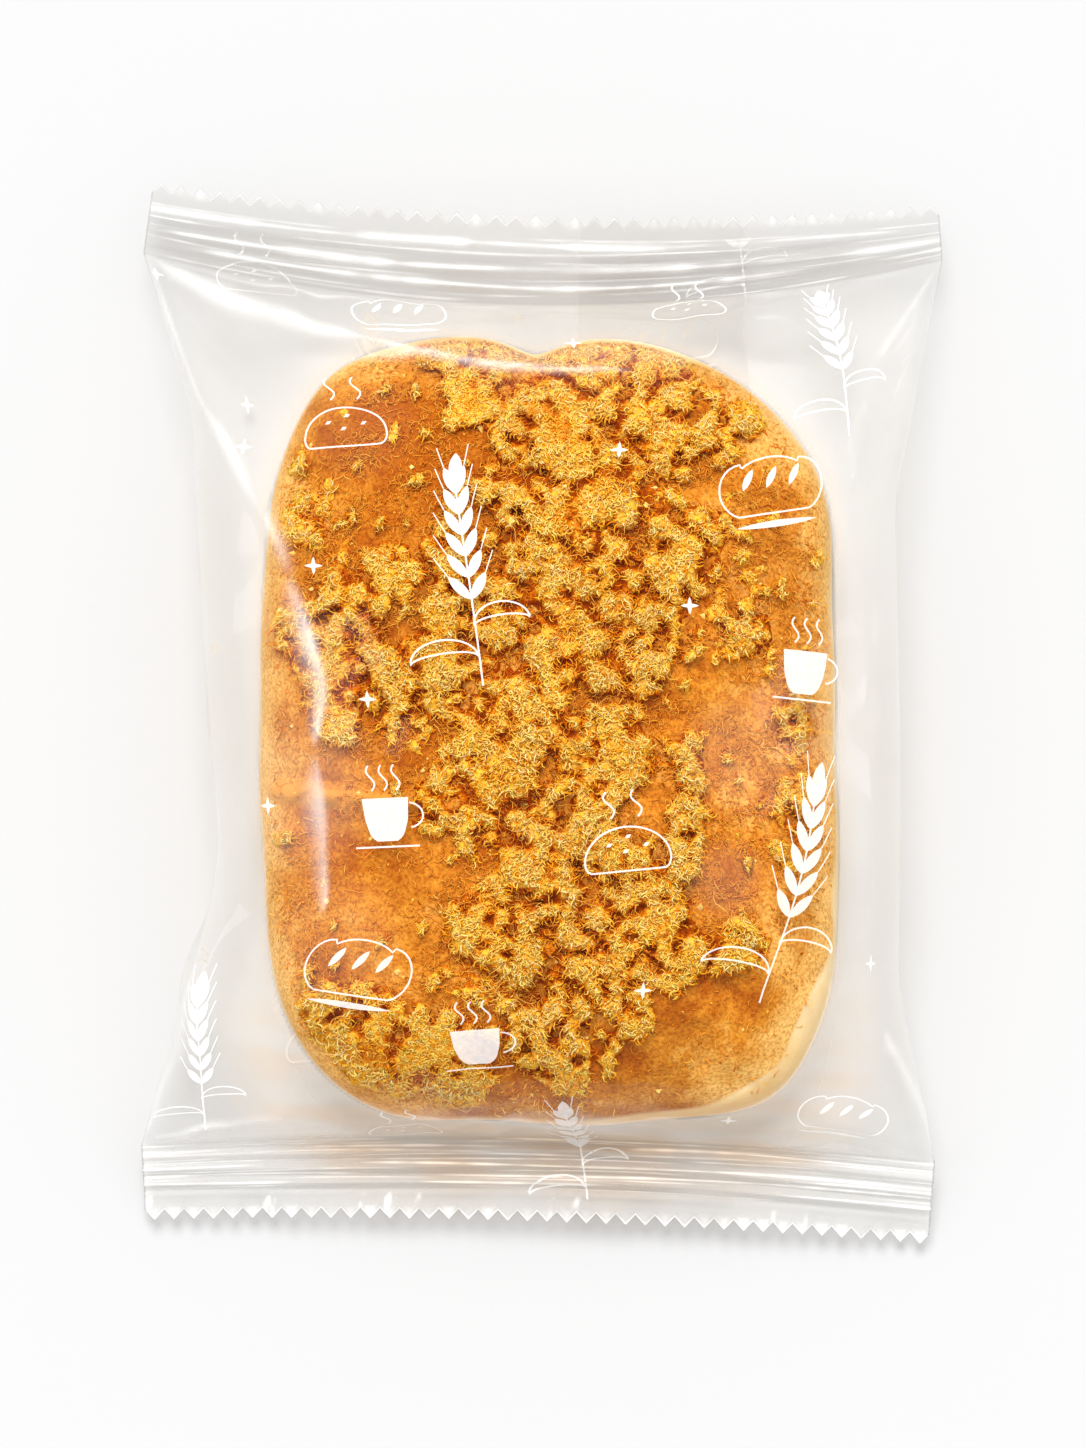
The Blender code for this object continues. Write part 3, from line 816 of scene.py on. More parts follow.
# Where it lies thick: the ends of each swath, its half width and its weight
SWATHS = (
    ((-6.0, 50.0), (18.0, 49.0), 6.5, 0.9),
    ((-16.0, 55.5), (16.0, 56.0), 3.5, 0.85),
    ((16.0, 55.0), (31.0, 45.0), 2.6, 0.6),
    ((2.0, 46.0), (8.0, 38.0), 12.5, 1.0),
    ((6.0, 38.0), (8.0, 22.0), 14.5, 1.0),
    ((8.0, 22.0), (8.0, 14.0), 12.0, 1.0),
    ((16.0, 30.0), (20.0, 22.0), 7.0, 0.8),
    ((-10.0, 22.0), (-6.0, 14.0), 6.0, 0.8),
    ((-30.0, 20.0), (-14.0, 15.0), 5.5, 0.8),
    ((-28.0, 6.0), (-12.0, 5.0), 7.5, 0.95),
    ((-10.0, 8.0), (6.0, 4.0), 8.5, 1.0),
    ((-8.0, -4.0), (6.0, -6.0), 9.5, 1.0),
    ((-4.0, -12.0), (4.0, -24.0), 10.5, 1.0),
    ((0.0, -28.0), (10.0, -34.0), 10.5, 1.0),
    ((14.0, -26.0), (18.0, -34.0), 5.0, 0.8),
    ((-8.0, -40.0), (12.0, -42.0), 5.0, 0.85),
    ((21.0, -6.0), (21.0, -22.0), 2.6, 0.75),
    ((-34.0, -46.0), (-14.0, -50.0), 5.0, 0.7),
    ((-26.0, -52.0), (-12.0, -55.0), 4.5, 0.95),
    ((-4.0, -48.0), (6.0, -52.0), 4.5, 0.6),
    ((24.0, -35.0), (30.0, -34.0), 3.2, 1.0),
    ((-38.0, 34.0), (-30.0, 22.0), 4.5, 0.6),
    ((-36.0, 12.0), (-30.0, 4.0), 4.0, 0.45),
    ((26.0, 24.0), (30.0, 14.0), 4.5, 0.5),
    ((30.0, 46.0), (24.0, 40.0), 4.0, 0.4),
    ((36.0, 4.0), (38.0, -20.0), 3.0, 0.35),
)
# Gaps in it that show the crust: centre, radius and weight
PITS = (
    ((-9.5, 39.0), 3.5, 0.8), ((-17.0, 36.0), 4.0, 0.7), ((-20.0, 11.0), 3.5, 0.8), ((0.0, 13.5), 2.5, 0.6),
    ((-17.0, -3.0), 4.0, 0.8), ((-7.5, -20.0), 3.5, 0.8), ((5.0, 3.0), 2.0, 0.4), ((14.0, -16.0), 3.0, 0.5),
)
# Where even single threads are few: centre, radius and weight
BARE = (
    ((26.0, -50.0), 13.0, 0.75), ((12.0, -54.0), 8.0, 0.6), ((36.0, -42.0), 9.0, 0.7),
    ((-37.0, 4.0), 6.0, 0.6), ((-37.0, -10.0), 7.0, 0.6), ((-26.0, -22.0), 8.0, 0.7),
    ((-34.0, 48.0), 7.0, 0.6), ((27.0, 4.0), 6.0, 0.4), ((-24.0, -36.0), 6.0, 0.4), ((30.0, 40.0), 5.0, 0.3),
)
RAGGED = ((0.26, 10, 101, 16), (0.20, 4, 103, 20))  # how uneven the swaths are
THICKNESS = 5.2
FILLED, FILLED_FROM = 0.34, 50.0  # no gaps at the upper end: how thick at least, as a share, and from where
FLOSS_ROOM = 0.35  # kept free under the film
BED_ROOM = 0.25  # kept free over the bed for the fibres
BED_DEPTH, BED_FOOT = 0.9, -0.5  # how deep the bed's sides reach into the crust, and where they begin
TOP_FROM = 20.0  # the height from which the crust is the bun's upper side
# The sizes of what the heap is made of: clumps, knobs on them and grains
CLUMP, KNOB, GRAIN_SIZE = 8.5, 4.2, 1.5
# How high each stands, as a share of the thickness, over an even layer that is partly sunk into the crust
EVEN_RISE, CLUMP_RISE, KNOB_RISE, GRAIN_RISE, SUNK = 0.26, 1.02, 0.33, 0.19, 0.20
# A crest stands out from the heap averaged over this reach. It is painted lighter the more it does, and near
# the rim, and the gaps are painted darker, as light and shade.
CREST_REACH, CREST_START, CREST_RELIEF = 5.0, 0.56, 1.3
RIM_LIGHTER, RIM_SPREAD, TONE_UNEVEN = 0.7, 7, 0.12


def floss_amount(x, y):
    """From 0 on bare crust to about 1 where the floss lies thick."""
    amount = np.zeros(np.shape(x))
    for start, end, half_width, weight in SWATHS:
        away, _ = line_distance(x, y, (start, end))
        amount = np.maximum(amount, weight * smooth((1.7 - away / half_width) / 1.2))
    amount = amount - patches(x, y, PITS) + layers(x, y, RAGGED) * smooth(amount * 4)
    islands = 0.45 * smooth((waves(x, y, 5, 106, 24) - 1.2) / 0.8) * smooth(1 - patches(x, y, BARE))
    return np.clip(np.maximum(amount, islands), 0, 1) * on_bun(x, y)


def thread_amount(x, y):
    """How many single threads lie at a place: many beside the clumps, and few on the bare patches."""
    uneven = 0.45 + 0.25 * waves(x, y, 7, 104, 12)
    return np.clip(uneven + 0.6 * floss_amount(x, y) - patches(x, y, BARE), 0.05, 1)


def floss_thickness(x, y):
    """Height of the floss over the crust: clumps of clumps, with gaps between them. Below 0 there is none."""
    amount = floss_amount(x, y)
    bend = 1.2 * waves(x, y, 8, 102, 10)
    large, own = cells(x + bend, y - bend, CLUMP, 1.0)
    medium, other = cells(x - bend * 0.6, y + bend * 0.6, KNOB, 2.0)
    small, _ = cells(x + bend * 0.2, y, GRAIN_SIZE, 3.0)
    dome = np.clip(1 - (large / 0.72) ** 2.5, 0, 1) * (0.5 + 0.8 * own)
    knob = np.clip(1 - (medium / 0.8) ** 4, 0, 1) * (0.4 + 0.6 * other)
    grain = np.clip(1 - (small / 0.75) ** 3, 0, 1)
    heap = amount * (EVEN_RISE + CLUMP_RISE * dome) + KNOB_RISE * (knob - 0.5) * smooth(amount * 2.5)
    heap += GRAIN_RISE * (grain - 0.7)
    heap = np.maximum(heap, FILLED * smooth((y - FILLED_FROM) / 4) * smooth(amount * 2))
    return THICKNESS * (heap - SUNK)


def pressed(thickness, room):
    """The heap pressed under the film: lower than the room it has, and still rounded."""
    return room * np.tanh(thickness / room)


def bed_piece(bun_heights, film_heights):
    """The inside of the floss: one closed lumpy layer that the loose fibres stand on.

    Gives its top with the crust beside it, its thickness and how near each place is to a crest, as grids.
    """
    x, y = grid_places()
    crust = bun_heights.values
    room = film_heights.values - crust - FLOSS_ROOM - BED_ROOM
    thickness = floss_thickness(x, y)
    thickness = np.where(thickness > 0, pressed(thickness, np.maximum(room, 0.1)), thickness)
    kept = (crust > TOP_FROM) & (thickness > BED_FOOT)
    cell = kept[:-1, :-1] & kept[:-1, 1:] & kept[1:, 1:] & kept[1:, :-1]
    count = x.size
    ids = np.arange(count).reshape(x.shape)
    top_faces = quads(ids)[cell.ravel()]
    edges = np.concatenate([top_faces[:, [k, (k + 1) % 4]] for k in range(4)])
    pairs = {(a, b) for a, b in edges.tolist()}
    rim = [(a, b) for a, b in pairs if (b, a) not in pairs]
    walls = [[b, a, a + count, b + count] for a, b in sorted(rim)]
    faces = np.concatenate([top_faces, top_faces[:, ::-1] + count, np.array(walls)])
    top = np.stack([x, y, crust + thickness], -1).reshape(-1, 3)
    bottom = np.stack([x, y, crust - BED_DEPTH], -1).reshape(-1, 3)
    crest = crest_share(thickness)
    points, faces, tone = compact(np.concatenate([top, bottom]), faces, np.tile(crest.ravel(), 2))
    mesh_object("floss_bed", points, faces.tolist(), bed_material(), "floss", height=tone)
    heights = np.where(kept, np.maximum(crust + thickness, crust), crust)
    return Heights(heights), Heights(thickness), Heights(crest)


def blurred(values, reach):
    """A grid's values averaged softly over about reach to each side."""
    kernel = np.hanning(2 * int(reach / GRID_STEP) + 3)[1:-1]
    kernel /= kernel.sum()
    for axis in (0, 1):
        values = np.apply_along_axis(np.convolve, axis, values, kernel, "same")
    return values


def crest_share(thickness):
    """0 in the gaps between the clumps, 1 on their crests, lifted near the rim; it places fibres and sets
    their painted light and shade.
    """
    relief = thickness - blurred(np.maximum(thickness, 0), CREST_REACH)
    x, y = grid_places()
    at_rim = smooth(1 + past_rim(x, y)[0] * RIM_SPREAD)
    tone = TONE_UNEVEN * waves(x, y, 12, 107, 16) + RIM_LIGHTER * at_rim
    return smooth(CREST_START + relief / CREST_RELIEF + tone)


def scattered(rng, count, weight):
    """Random places over the bun, more of them where weight(x, y) is greater."""
    xs, ys = [], []
    while len(xs) < count:
        x = rng.uniform(-BUN_HALF_WIDTH, BUN_HALF_WIDTH, count) + BUN_CENTRE[0]
        y = rng.uniform(-BUN_HALF_LENGTH, BUN_HALF_LENGTH, count) + BUN_CENTRE[1]
        taken = rng.uniform(0, 1, count) < weight(x, y)
        xs.extend(x[taken])
        ys.extend(y[taken])
    return np.array(xs[:count]), np.array(ys[:count])


def fibre_paths(rng, x, y, z, length, steps, rise, curl):
    """Curly lines from each root. rise is the steepest start, and curl the turn from end to end."""
    count = len(x)
    heading = rng.uniform(0, 2 * np.pi, count)
    pitch = rng.uniform(-0.15, rise, count)
    bend = rng.normal(0, curl, count) / steps
    droop = rng.uniform(0.0, 0.9, count) / steps
    step = length / steps
    path = [np.stack([x, y, z], 1)]
    for _ in range(steps):
        heading = heading + bend + rng.normal(0, 0.5 * curl / steps, count)
        pitch = pitch - droop + rng.normal(0, 0.35, count)
        flat = np.cos(pitch) * step
        move = np.stack([np.cos(heading) * flat, np.sin(heading) * flat, np.sin(pitch) * step], 1)
        path.append(path[-1] + move)
    return np.stack(path, 1)


NEARLY_UP = np.array([0.23, 0.31, 0.92])  # a leaning axis that hardly any fibre runs along
FIBRE_SIDES = 3


def tubes(paths, radii):
    """Three-sided closed tubes along the paths, tapering to the radii given for each fibre and point."""
    count, steps, _ = paths.shape
    tangent = np.gradient(paths, axis=1)
    tangent /= np.maximum(np.linalg.norm(tangent, axis=2, keepdims=True), 1e-9)
    side = np.cross(tangent, NEARLY_UP)
    side /= np.maximum(np.linalg.norm(side, axis=2, keepdims=True), 1e-9)
    lift = np.cross(side, tangent)
    corners = []
    for k in range(FIBRE_SIDES):
        turn = 2 * math.pi * k / FIBRE_SIDES
        corners.append(paths + (side * math.cos(turn) + lift * math.sin(turn)) * radii[..., None])
    points = np.stack(corners, 2).reshape(-1, 3)
    first = (np.arange(count) * steps * FIBRE_SIDES)[:, None]
    ring = np.arange(steps - 1)[None, :] * FIBRE_SIDES
    faces = []
    for k in range(FIBRE_SIDES):
        a = (first + ring + k).ravel()
        b = (first + ring + (k + 1) % FIBRE_SIDES).ravel()
        faces.append(np.stack([a, a + FIBRE_SIDES, b + FIBRE_SIDES, b], 1))
    root = first + np.arange(FIBRE_SIDES)
    tip = root[:, ::-1] + (steps - 1) * FIBRE_SIDES
    return points, np.concatenate(faces).tolist() + root.tolist() + tip.tolist()


FLOSS_EDGE = 0.015  # how far inside the rim it ends, as a share of the way from the bun's centre


def kept_on_bun(places):
    """Moves what lies past the bun's rim back inside it, in place."""
    beyond = past_rim(places[..., 0], places[..., 1])[0]
    pull = np.minimum((1 - FLOSS_EDGE) / (1 + beyond), 1)
    places[..., 0] = BUN_CENTRE[0] + (places[..., 0] - BUN_CENTRE[0]) * pull
    places[..., 1] = BUN_CENTRE[1] + (places[..., 1] - BUN_CENTRE[1]) * pull


FIBRE_TAPER = ((0, 0.6, 1), (1.0, 0.9, 0.35))  # places along a fibre, and its thickness there
STANDING = 1.3  # a fibre this high over the bed is painted as in full light, lower ones in painted shade
CREST_WEIGHT = 0.7  # how much of a fibre's painted light and shade comes from the crest or gap where it lies


def fibre_piece(name, kind, weight, bed, film_heights, crest):
    """Loose fibres of one kind, held between what they lie on and the film."""
    rng = np.random.default_rng(kind["seed"])
    x, y = scattered(rng, kind["count"], weight)
    z = bed.at(x, y) + rng.uniform(0, kind["start"], kind["count"])
    length = rng.uniform(*kind["length"], kind["count"])
    paths = fibre_paths(rng, x, y, z, length, kind["steps"], kind["rise"], kind["curl"])
    radius = rng.uniform(*kind["radius"], kind["count"])
    taper = np.interp(np.linspace(0, 1, kind["steps"] + 1), *FIBRE_TAPER)
    radii = radius[:, None] * taper[None, :]
    kept_on_bun(paths)
    x, y = paths[..., 0], paths[..., 1]
    below = bed.at(x, y)
    ceiling = film_heights.at(x, y) - FLOSS_ROOM
    paths[..., 2] = np.minimum(np.maximum(paths[..., 2], below - kind["sunk"] + radii), ceiling)
    points, faces = tubes(paths, radii)
    own = np.repeat(rng.uniform(0, 1, kind["count"]), (kind["steps"] + 1) * FIBRE_SIDES)
    # Painted light and shade: fibres standing high and on crests take lighter tones, those low and in the
    # gaps darker
    standing = smooth((paths[..., 2] - below) / STANDING)
    height = np.repeat(mix(standing, crest.at(x, y), CREST_WEIGHT), FIBRE_SIDES)
    look = floss_material(name, kind["tones"])
    mesh_object(name, points, faces, look, "floss", own=own, height=height)


CURLS = {"start": 0.2, "sunk": 0.25, "steps": 3, "rise": 0.8, "curl": 3.4, "count": 9800}
FIBRES = {
    "floss_curls_low": {
        **CURLS, "seed": 201, "tones": "low", "length": (0.8, 1.9), "radius": (0.11, 0.17),
    },
    "floss_curls_middle": {
        **CURLS, "seed": 202, "tones": "middle", "length": (0.8, 1.9), "radius": (0.11, 0.17), "start": 0.6,
    },
    "floss_curls_high": {
        **CURLS, "seed": 203, "tones": "high", "length": (0.7, 1.7), "radius": (0.09, 0.15), "start": 0.9,
    },
    "floss_wisps": {
        **CURLS, "seed": 204, "tones": "wisps", "length": (0.7, 2.2), "radius": (0.07, 0.12), "sunk": 0.02,
    },
    "floss_threads": {
        **CURLS, "seed": 205, "tones": "wisps", "length": (2.0, 5.0), "radius": (0.06, 0.09), "sunk": 0.0,
        "count": 2600, "rise": 0.5, "steps": 9, "curl": 4.5, "start": 0.3,
    },
}


def floss_pieces(bed, film_heights, thickness, crest):
    """Each kind of loose fibre, scattered by a weight of its own."""
    def anywhere(x, y):
        return smooth((thickness.at(x, y) + 0.2) / 1.0) * on_bun(x, y)

    def low_down(x, y):
        return anywhere(x, y) * (0.25 + 0.75 * smooth(crest.at(x, y) / 0.5))

    def on_crests(x, y):
        return anywhere(x, y) * (0.15 + 0.85 * smooth((crest.at(x, y) - 0.15) / 0.5))

    def on_tops(x, y):
        return anywhere(x, y) * (0.06 + 0.94 * smooth((crest.at(x, y) - 0.25) / 0.45))

    def beside(x, y):
        return thread_amount(x, y) * (1 - 0.8 * anywhere(x, y)) * on_bun(x, y)

    def sparse(x, y):
        return thread_amount(x, y) * on_bun(x, y)

    for (name, kind), weight in zip(FIBRES.items(), (low_down, on_crests, on_tops, beside, sparse)):
        fibre_piece(name, kind, weight, bed, film_heights, crest)


CRUMBS = 2200
CRUMB_SIZE, CRUMB_SMALLEST = 0.06, 0.05
CRUMB_CORNERS = np.array([[1, 0, 0], [-1, 0, 0], [0, 1, 0], [0, -1, 0], [0, 0, 1], [0, 0, -1]], float)
CRUMB_SIDES = np.array([
    [0, 2, 4], [2, 1, 4], [1, 3, 4], [3, 0, 4], [2, 0, 5], [1, 2, 5], [3, 1, 5], [0, 3, 5],
])


def crumb_piece(bed, film_heights):
    """Specks of floss dust: small uneven octahedra."""
    rng = np.random.default_rng(301)
    x, y = scattered(rng, CRUMBS, lambda a, b: (0.12 + 0.88 * floss_amount(a, b)) * on_bun(a, b))
    places = np.stack([x, y], 1)
    kept_on_bun(places)
    x, y = places.T
    size = rng.gamma(2.0, CRUMB_SIZE, CRUMBS) + CRUMB_SMALLEST
    z = np.minimum(bed.at(x, y) + 0.4 * size, film_heights.at(x, y) - FLOSS_ROOM)
    corners = len(CRUMB_CORNERS)
    shapes = CRUMB_CORNERS[None] * rng.uniform(0.5, 1.3, (CRUMBS, corners, 1))
    shapes = shapes + rng.normal(0, 0.18, (CRUMBS, corners, 3))
    points = np.stack([x, y, z], 1)[:, None, :] + shapes * size[:, None, None]
    faces = (np.arange(CRUMBS)[:, None, None] * corners + CRUMB_SIDES[None]).reshape(-1, 3)
    fields = {"own": rng.uniform(0, 1, CRUMBS), "height": smooth(size * 3)}
    fields = {name: np.repeat(values, corners) for name, values in fields.items()}
    look = floss_material("crumbs", "middle")
    mesh_object("floss_crumbs", points.reshape(-1, 3), faces.tolist(), look, "floss", False, **fields)


# The print

INK_LIFT = 0.05
LINE = 0.14  # half of a line's width
STROKE_STEP = 0.45
CUT_MARGIN, SIDE_MARGIN = 2.0, 0.5  # the print stops this far inside the film's edges


def lengths_along(line):
    """How far along a line of points each of them is."""
    return np.concatenate(([0.0], np.cumsum(np.linalg.norm(np.diff(line, axis=0), axis=1))))


class Sheet:
    """A side of the film laid flat, with u across from its middle and v along from halfway."""

    def __init__(self, grid, facing):
        self.grid = grid
        self.normals = grid_normals(grid) * facing
        middle = grid[:, COLUMNS // 2]
        length = lengths_along(middle[:, 1:])
        self.along = length - np.interp(0.0, middle[:, 1], length)

    def at(self, u, v):
        """Points just outside the film."""
        column = np.clip((u / SHEET_WIDTH + 0.5) * COLUMNS, 0, COLUMNS - 0.001)
        row = np.minimum(np.interp(v, self.along, np.arange(len(self.along))), len(self.along) - 1.001)
        i, j = column.astype(int), row.astype(int)
        a, b = (column - i)[..., None], (row - j)[..., None]
        near = mix(self.grid[j, i], self.grid[j, i + 1], a)
        far = mix(self.grid[j + 1, i], self.grid[j + 1, i + 1], a)
        normal = mix(self.normals[j, i], self.normals[j, i + 1], a)
        return mix(near, far, b) + normal * INK_LIFT

    def printed(self, u, v):
        """Where the sheet takes ink: not past its sides or close to its cuts."""
        across = np.abs(u) < SHEET_WIDTH / 2 - SIDE_MARGIN
        return across & (v > self.along[0] + CUT_MARGIN) & (v < self.along[-1] - CUT_MARGIN)


class Ink:
    """Gathers the strokes of the print on one side of the film."""

    def __init__(self, sheet):
        self.sheet, self.points, self.faces, self.count = sheet, [], [], 0

    def band(self, line, half_widths, across=1):
        """A stroke along a line of (u, v) points, as wide as half_widths says at each of them."""
        line = np.asarray(line, float)
        lengths = lengths_along(line)
        wanted = np.linspace(0, lengths[-1], max(int(lengths[-1] / STROKE_STEP), 2) + 1)
        widths = np.interp(wanted, np.linspace(0, lengths[-1], len(half_widths)), half_widths)
        u, v = (np.interp(wanted, lengths, line[:, k]) for k in (0, 1))
        du, dv = np.gradient(u), np.gradient(v)
        size = np.maximum(np.hypot(du, dv), 1e-9)
        shares = np.linspace(-1, 1, across + 1)
        flat_u = u[:, None] - (dv / size * widths)[:, None] * shares
        flat_v = v[:, None] + (du / size * widths)[:, None] * shares
        points = self.sheet.at(flat_u, flat_v)
        inside = self.sheet.printed(flat_u, flat_v)
        kept = inside[:-1, :-1] & inside[:-1, 1:] & inside[1:, 1:] & inside[1:, :-1]
        ids = self.count + np.arange(points.shape[0] * points.shape[1]).reshape(points.shape[:2])
        self.points.append(points.reshape(-1, 3))
        self.faces.append(quads(ids)[kept.ravel()])
        self.count += ids.size

    def piece(self, name, look):
        points, faces = compact(np.concatenate(self.points), np.concatenate(self.faces))
        mesh_object(name, points, faces.tolist(), look, "white_print")


GRAIN = np.sin(np.linspace(0, np.pi, 9)) ** 0.7  # the widths of a pointed oval along it


class Pen:
    """Draws a motif's own points with ink, scaled, turned and moved to their place on the sheet."""

    def __init__(self, ink, place, angle, size):
        self.ink, self.place, self.angle, self.size = ink, place, angle, size

    def placed(self, line):
        line = np.asarray(line, float) * self.size
        c, s = math.cos(self.angle), math.sin(self.angle)
        u = line[:, 0] * c - line[:, 1] * s + self.place[0]
        v = line[:, 0] * s + line[:, 1] * c + self.place[1]
        return np.stack([u, v], 1)

    def stroke(self, line, half_width=LINE):
        self.ink.band(self.placed(line), (half_width, half_width))

    def solid(self, line, half_widths, across):
        self.ink.band(self.placed(line), half_widths, across)

    def grain(self, start, end, half_width, across=2):
        """A solid pointed oval."""
        self.solid([start, end], half_width * self.size * GRAIN, across)


def arc(cx, cy, rx, ry, start, end, count=24):
    turn = np.radians(np.linspace(start, end, count))
    return np.stack([cx + rx * np.cos(turn), cy + ry * np.sin(turn)], 1)


def closed(*parts):
    line = np.concatenate(parts)
    return np.concatenate([line, line[:1]])


def steam(pen, x, foot, sway):
    """A wavy line that rises from its foot."""
    pen.stroke([(x + sway * math.sin(6 * t), foot + 4 * t) for t in np.linspace(0, 1, 14)])


def wheat_ear(pen):
    """A stem with paired solid grains, fine beards and two outlined leaves."""
    stem = [(1.6 * math.sin(t * 1.7), t * 34) for t in np.linspace(0, 1, 20)]
    pen.stroke(stem)
    for k in range(6):
        base = stem[8 + 2 * k]
        for side in (-1, 1):
            lean = side * (0.62 - 0.06 * k)
            tip = (base[0] + 5.2 * math.sin(lean), base[1] + 5.2 * math.cos(lean))
            pen.grain(base, tip, 0.85, 3)
            beard = (base[0] + 9.0 * math.sin(lean * 0.9), base[1] + 9.0 * math.cos(lean * 0.9))
            pen.stroke([tip, beard], LINE * 0.6)
    top = stem[-1]
    pen.grain(top, (top[0] + 0.5, top[1] + 5.5), 1.1, 3)
    for side, height, reach in ((-1, 3, 11), (1, 8, 9)):
        base = (1.6 * math.sin(height / 20), height)
        near, far = (180, 0) if side > 0 else (0, 180)
        centre = (base[0] + side * reach / 2, base[1] + 2)
        leaf = arc(*centre, reach / 2, 3.4, near, far)
        back = arc(*centre, reach / 2, 1.2, far, near)
        pen.stroke(np.concatenate([leaf, back]))


def loaf(pen):
    """A plump loaf in outline with three slashes, on a solid shadow bar."""
    left, right = arc(-4.5, 1.0, 3.5, 4.2, 250, 90, 12), arc(4.5, 1.0, 3.5, 4.2, 90, -70, 12)
    pen.stroke(closed(left, arc(0, 3.2, 5, 2.6, 150, 30, 16), right))
    for k in (-1, 0, 1):
        pen.grain((k * 3.6 - 0.9, 1.0), (k * 3.6 + 0.9, 4.2), 0.55)
    pen.grain((-6.5, -4.6), (6.5, -4.6), 0.5)


def bread_roll(pen):
    """A round-topped roll in outline with seeds on it and steam over it."""
    left, right = arc(-5.2, 0, 1.0, 1.6, 180, 270, 8), arc(5.2, 0, 1.0, 1.6, 270, 360, 8)
    pen.stroke(closed(arc(0, 0, 6.2, 5.0, 0, 180, 30), left, right))
    for seed_x, seed_y in ((-2.6, 2.2), (0.2, 3.3), (2.7, 1.9), (-0.3, 1.1)):
        pen.grain((seed_x - 0.5, seed_y), (seed_x + 0.5, seed_y + 0.5), 0.3)
    for side in (-1, 1):
        steam(pen, side * 2.0, 6.4, 0.7)


def cup(pen):
    """A solid cup with an outlined handle and steam over it."""
    body = np.interp(np.linspace(0, 1, 12), (0.0, 0.12, 0.5, 1.0), (1.6, 2.6, 3.4, 3.7))
    pen.solid([(0, -3.4), (0, 3.4)], body * pen.size, 6)
    pen.stroke(arc(3.4, 0.6, 2.4, 2.0, 80, -80, 16))
    pen.stroke([(-5.0, -4.3), (5.0, -4.3)])
    for side in (-1, 0, 1):
        steam(pen, side * 2.0, 4.6, 0.6)


def spark(pen):
    """Four fine points."""
    pen.grain((-1.8, 0), (1.8, 0), 0.42)
    pen.grain((0, -1.8), (0, 1.8), 0.42)


# Motifs in half-drop columns over the sheet: across, along, turn and size
EARS = (
    (-10, 4, 0.15, 0.9), (31, -44, -0.18, 0.95), (45, 42, 0.15, 0.8), (-50, -71, 0.1, 0.8),
    (8, -95, 0.2, 0.8),
)
LOAVES = ((33, 33, 0.15, 1.0), (-27, -40, -0.15, 1.0), (-22, 68, 0.1, 0.9), (45, -66, -0.2, 0.9))
ROLLS = ((10, -22, 0.1, 1.0), (-30, 42, 0.1, 1.0), (22, 70, 0.0, 0.9), (-20, -76, 0.1, 0.9))
CUPS = ((37, 6, -0.1, 0.95), (-9, -52, 0.12, 0.95), (-25, -16, 0.05, 0.95))
SPARK_SIZE = 0.75
SPARKS = tuple((u, v, 0, SPARK_SIZE) for u, v in (
    (10, 40), (-46, 40), (20, 16), (-27, 2), (-44, -14), (14, -42), (50, -38), (4, 62), (28, -68), (-34, 22),
))
BACK_SHIFT = (-14, 24)  # how far the back's motifs are moved
MOTIFS = ((wheat_ear, EARS), (loaf, LOAVES), (bread_roll, ROLLS), (cup, CUPS), (spark, SPARKS))


def print_piece(name, sheet, shift, look):
    """All motifs on one side of the film, moved together by shift."""
    ink = Ink(sheet)
    for motif, places in MOTIFS:
        for u, v, angle, size in places:
            motif(Pen(ink, (u + shift[0], v + shift[1]), angle, size))
    ink.piece(name, look)


# Materials

class Graph:
    """Builds a node tree. Values may be numbers, colours or the outputs of other nodes."""

    def __init__(self, tree):
        self.nodes, self.links = tree.nodes, tree.links

    def feed(self, socket, value):
        if isinstance(value, tuple):
            socket.default_value = (*value, 1.0)
        elif isinstance(value, (int, float)):
            socket.default_value = value
        else:
            self.links.new(value, socket)

    def add(self, kind, **inputs):
        """A node with its inputs set by name, where an underscore stands for a space."""
        node = self.nodes.new(kind)
        for name, value in inputs.items():
            self.feed(node.inputs[name.replace("_", " ")], value)
        return node

    def math(self, operation, *values):
        node = self.nodes.new("ShaderNodeMath")
        node.operation = operation
        for socket, value in zip(node.inputs, values):
            self.feed(socket, value)
        return node.outputs[0]

    def field(self, name):
        """The numbers that a piece holds for its material under this name."""
        node = self.nodes.new("ShaderNodeAttribute")
        node.attribute_name = name
        return node.outputs["Fac"]

    def noise(self, scale, detail=3.0, roughness=0.55):
        """Noise in the object's own space, with scale in bumps a metre."""
        place = self.nodes.new("ShaderNodeTexCoord").outputs["Object"]
        node = self.add("ShaderNodeTexNoise", Vector=place, Scale=scale, Detail=detail, Roughness=roughness)
        return node.outputs["Fac"]

    def ramp(self, value, *stops):
        """Colours by value. Each stop is a place and its colour."""
        node = self.add("ShaderNodeValToRGB", Fac=value)
        bar = node.color_ramp
        while len(bar.elements) < len(stops):
            bar.elements.new(0.5)
        for element, (place, colour) in zip(bar.elements, stops):
            element.position = place
            element.color = (*colour, 1.0)
        return node.outputs["Color"]

    def blend(self, share, first, second, kind="MIX"):
        node = self.nodes.new("ShaderNodeMix")
        node.data_type, node.blend_type = "RGBA", kind
        colours = [socket for socket in node.inputs if socket.type == "RGBA"]
        for socket, value in zip((node.inputs[0], *colours), (share, first, second)):
            self.feed(socket, value)
        return [socket for socket in node.outputs if socket.type == "RGBA"][0]

    def tinted(self, colour, tint):
        return self.blend(1.0, colour, tint, "MULTIPLY")

    def bump(self, height, strength, distance):
        return self.add("ShaderNodeBump", Height=height, Strength=strength, Distance=distance).outputs[0]

    def shader(self, kind, **inputs):
        return self.add("ShaderNodeBsdf" + kind, **inputs).outputs[0]

    def layered(self, share, first, second):
        """Two shaders, with share of the second."""
        node = self.nodes.new("ShaderNodeMixShader")
        for socket, value in zip(node.inputs, (share, first, second)):
            self.feed(socket, value)
        return node.outputs[0]


def new_material(name):
    """A material and its empty graph."""
    material = bpy.data.materials.new(name)
    material.use_nodes = True
    material.node_tree.nodes.clear()
    return material, Graph(material.node_tree)


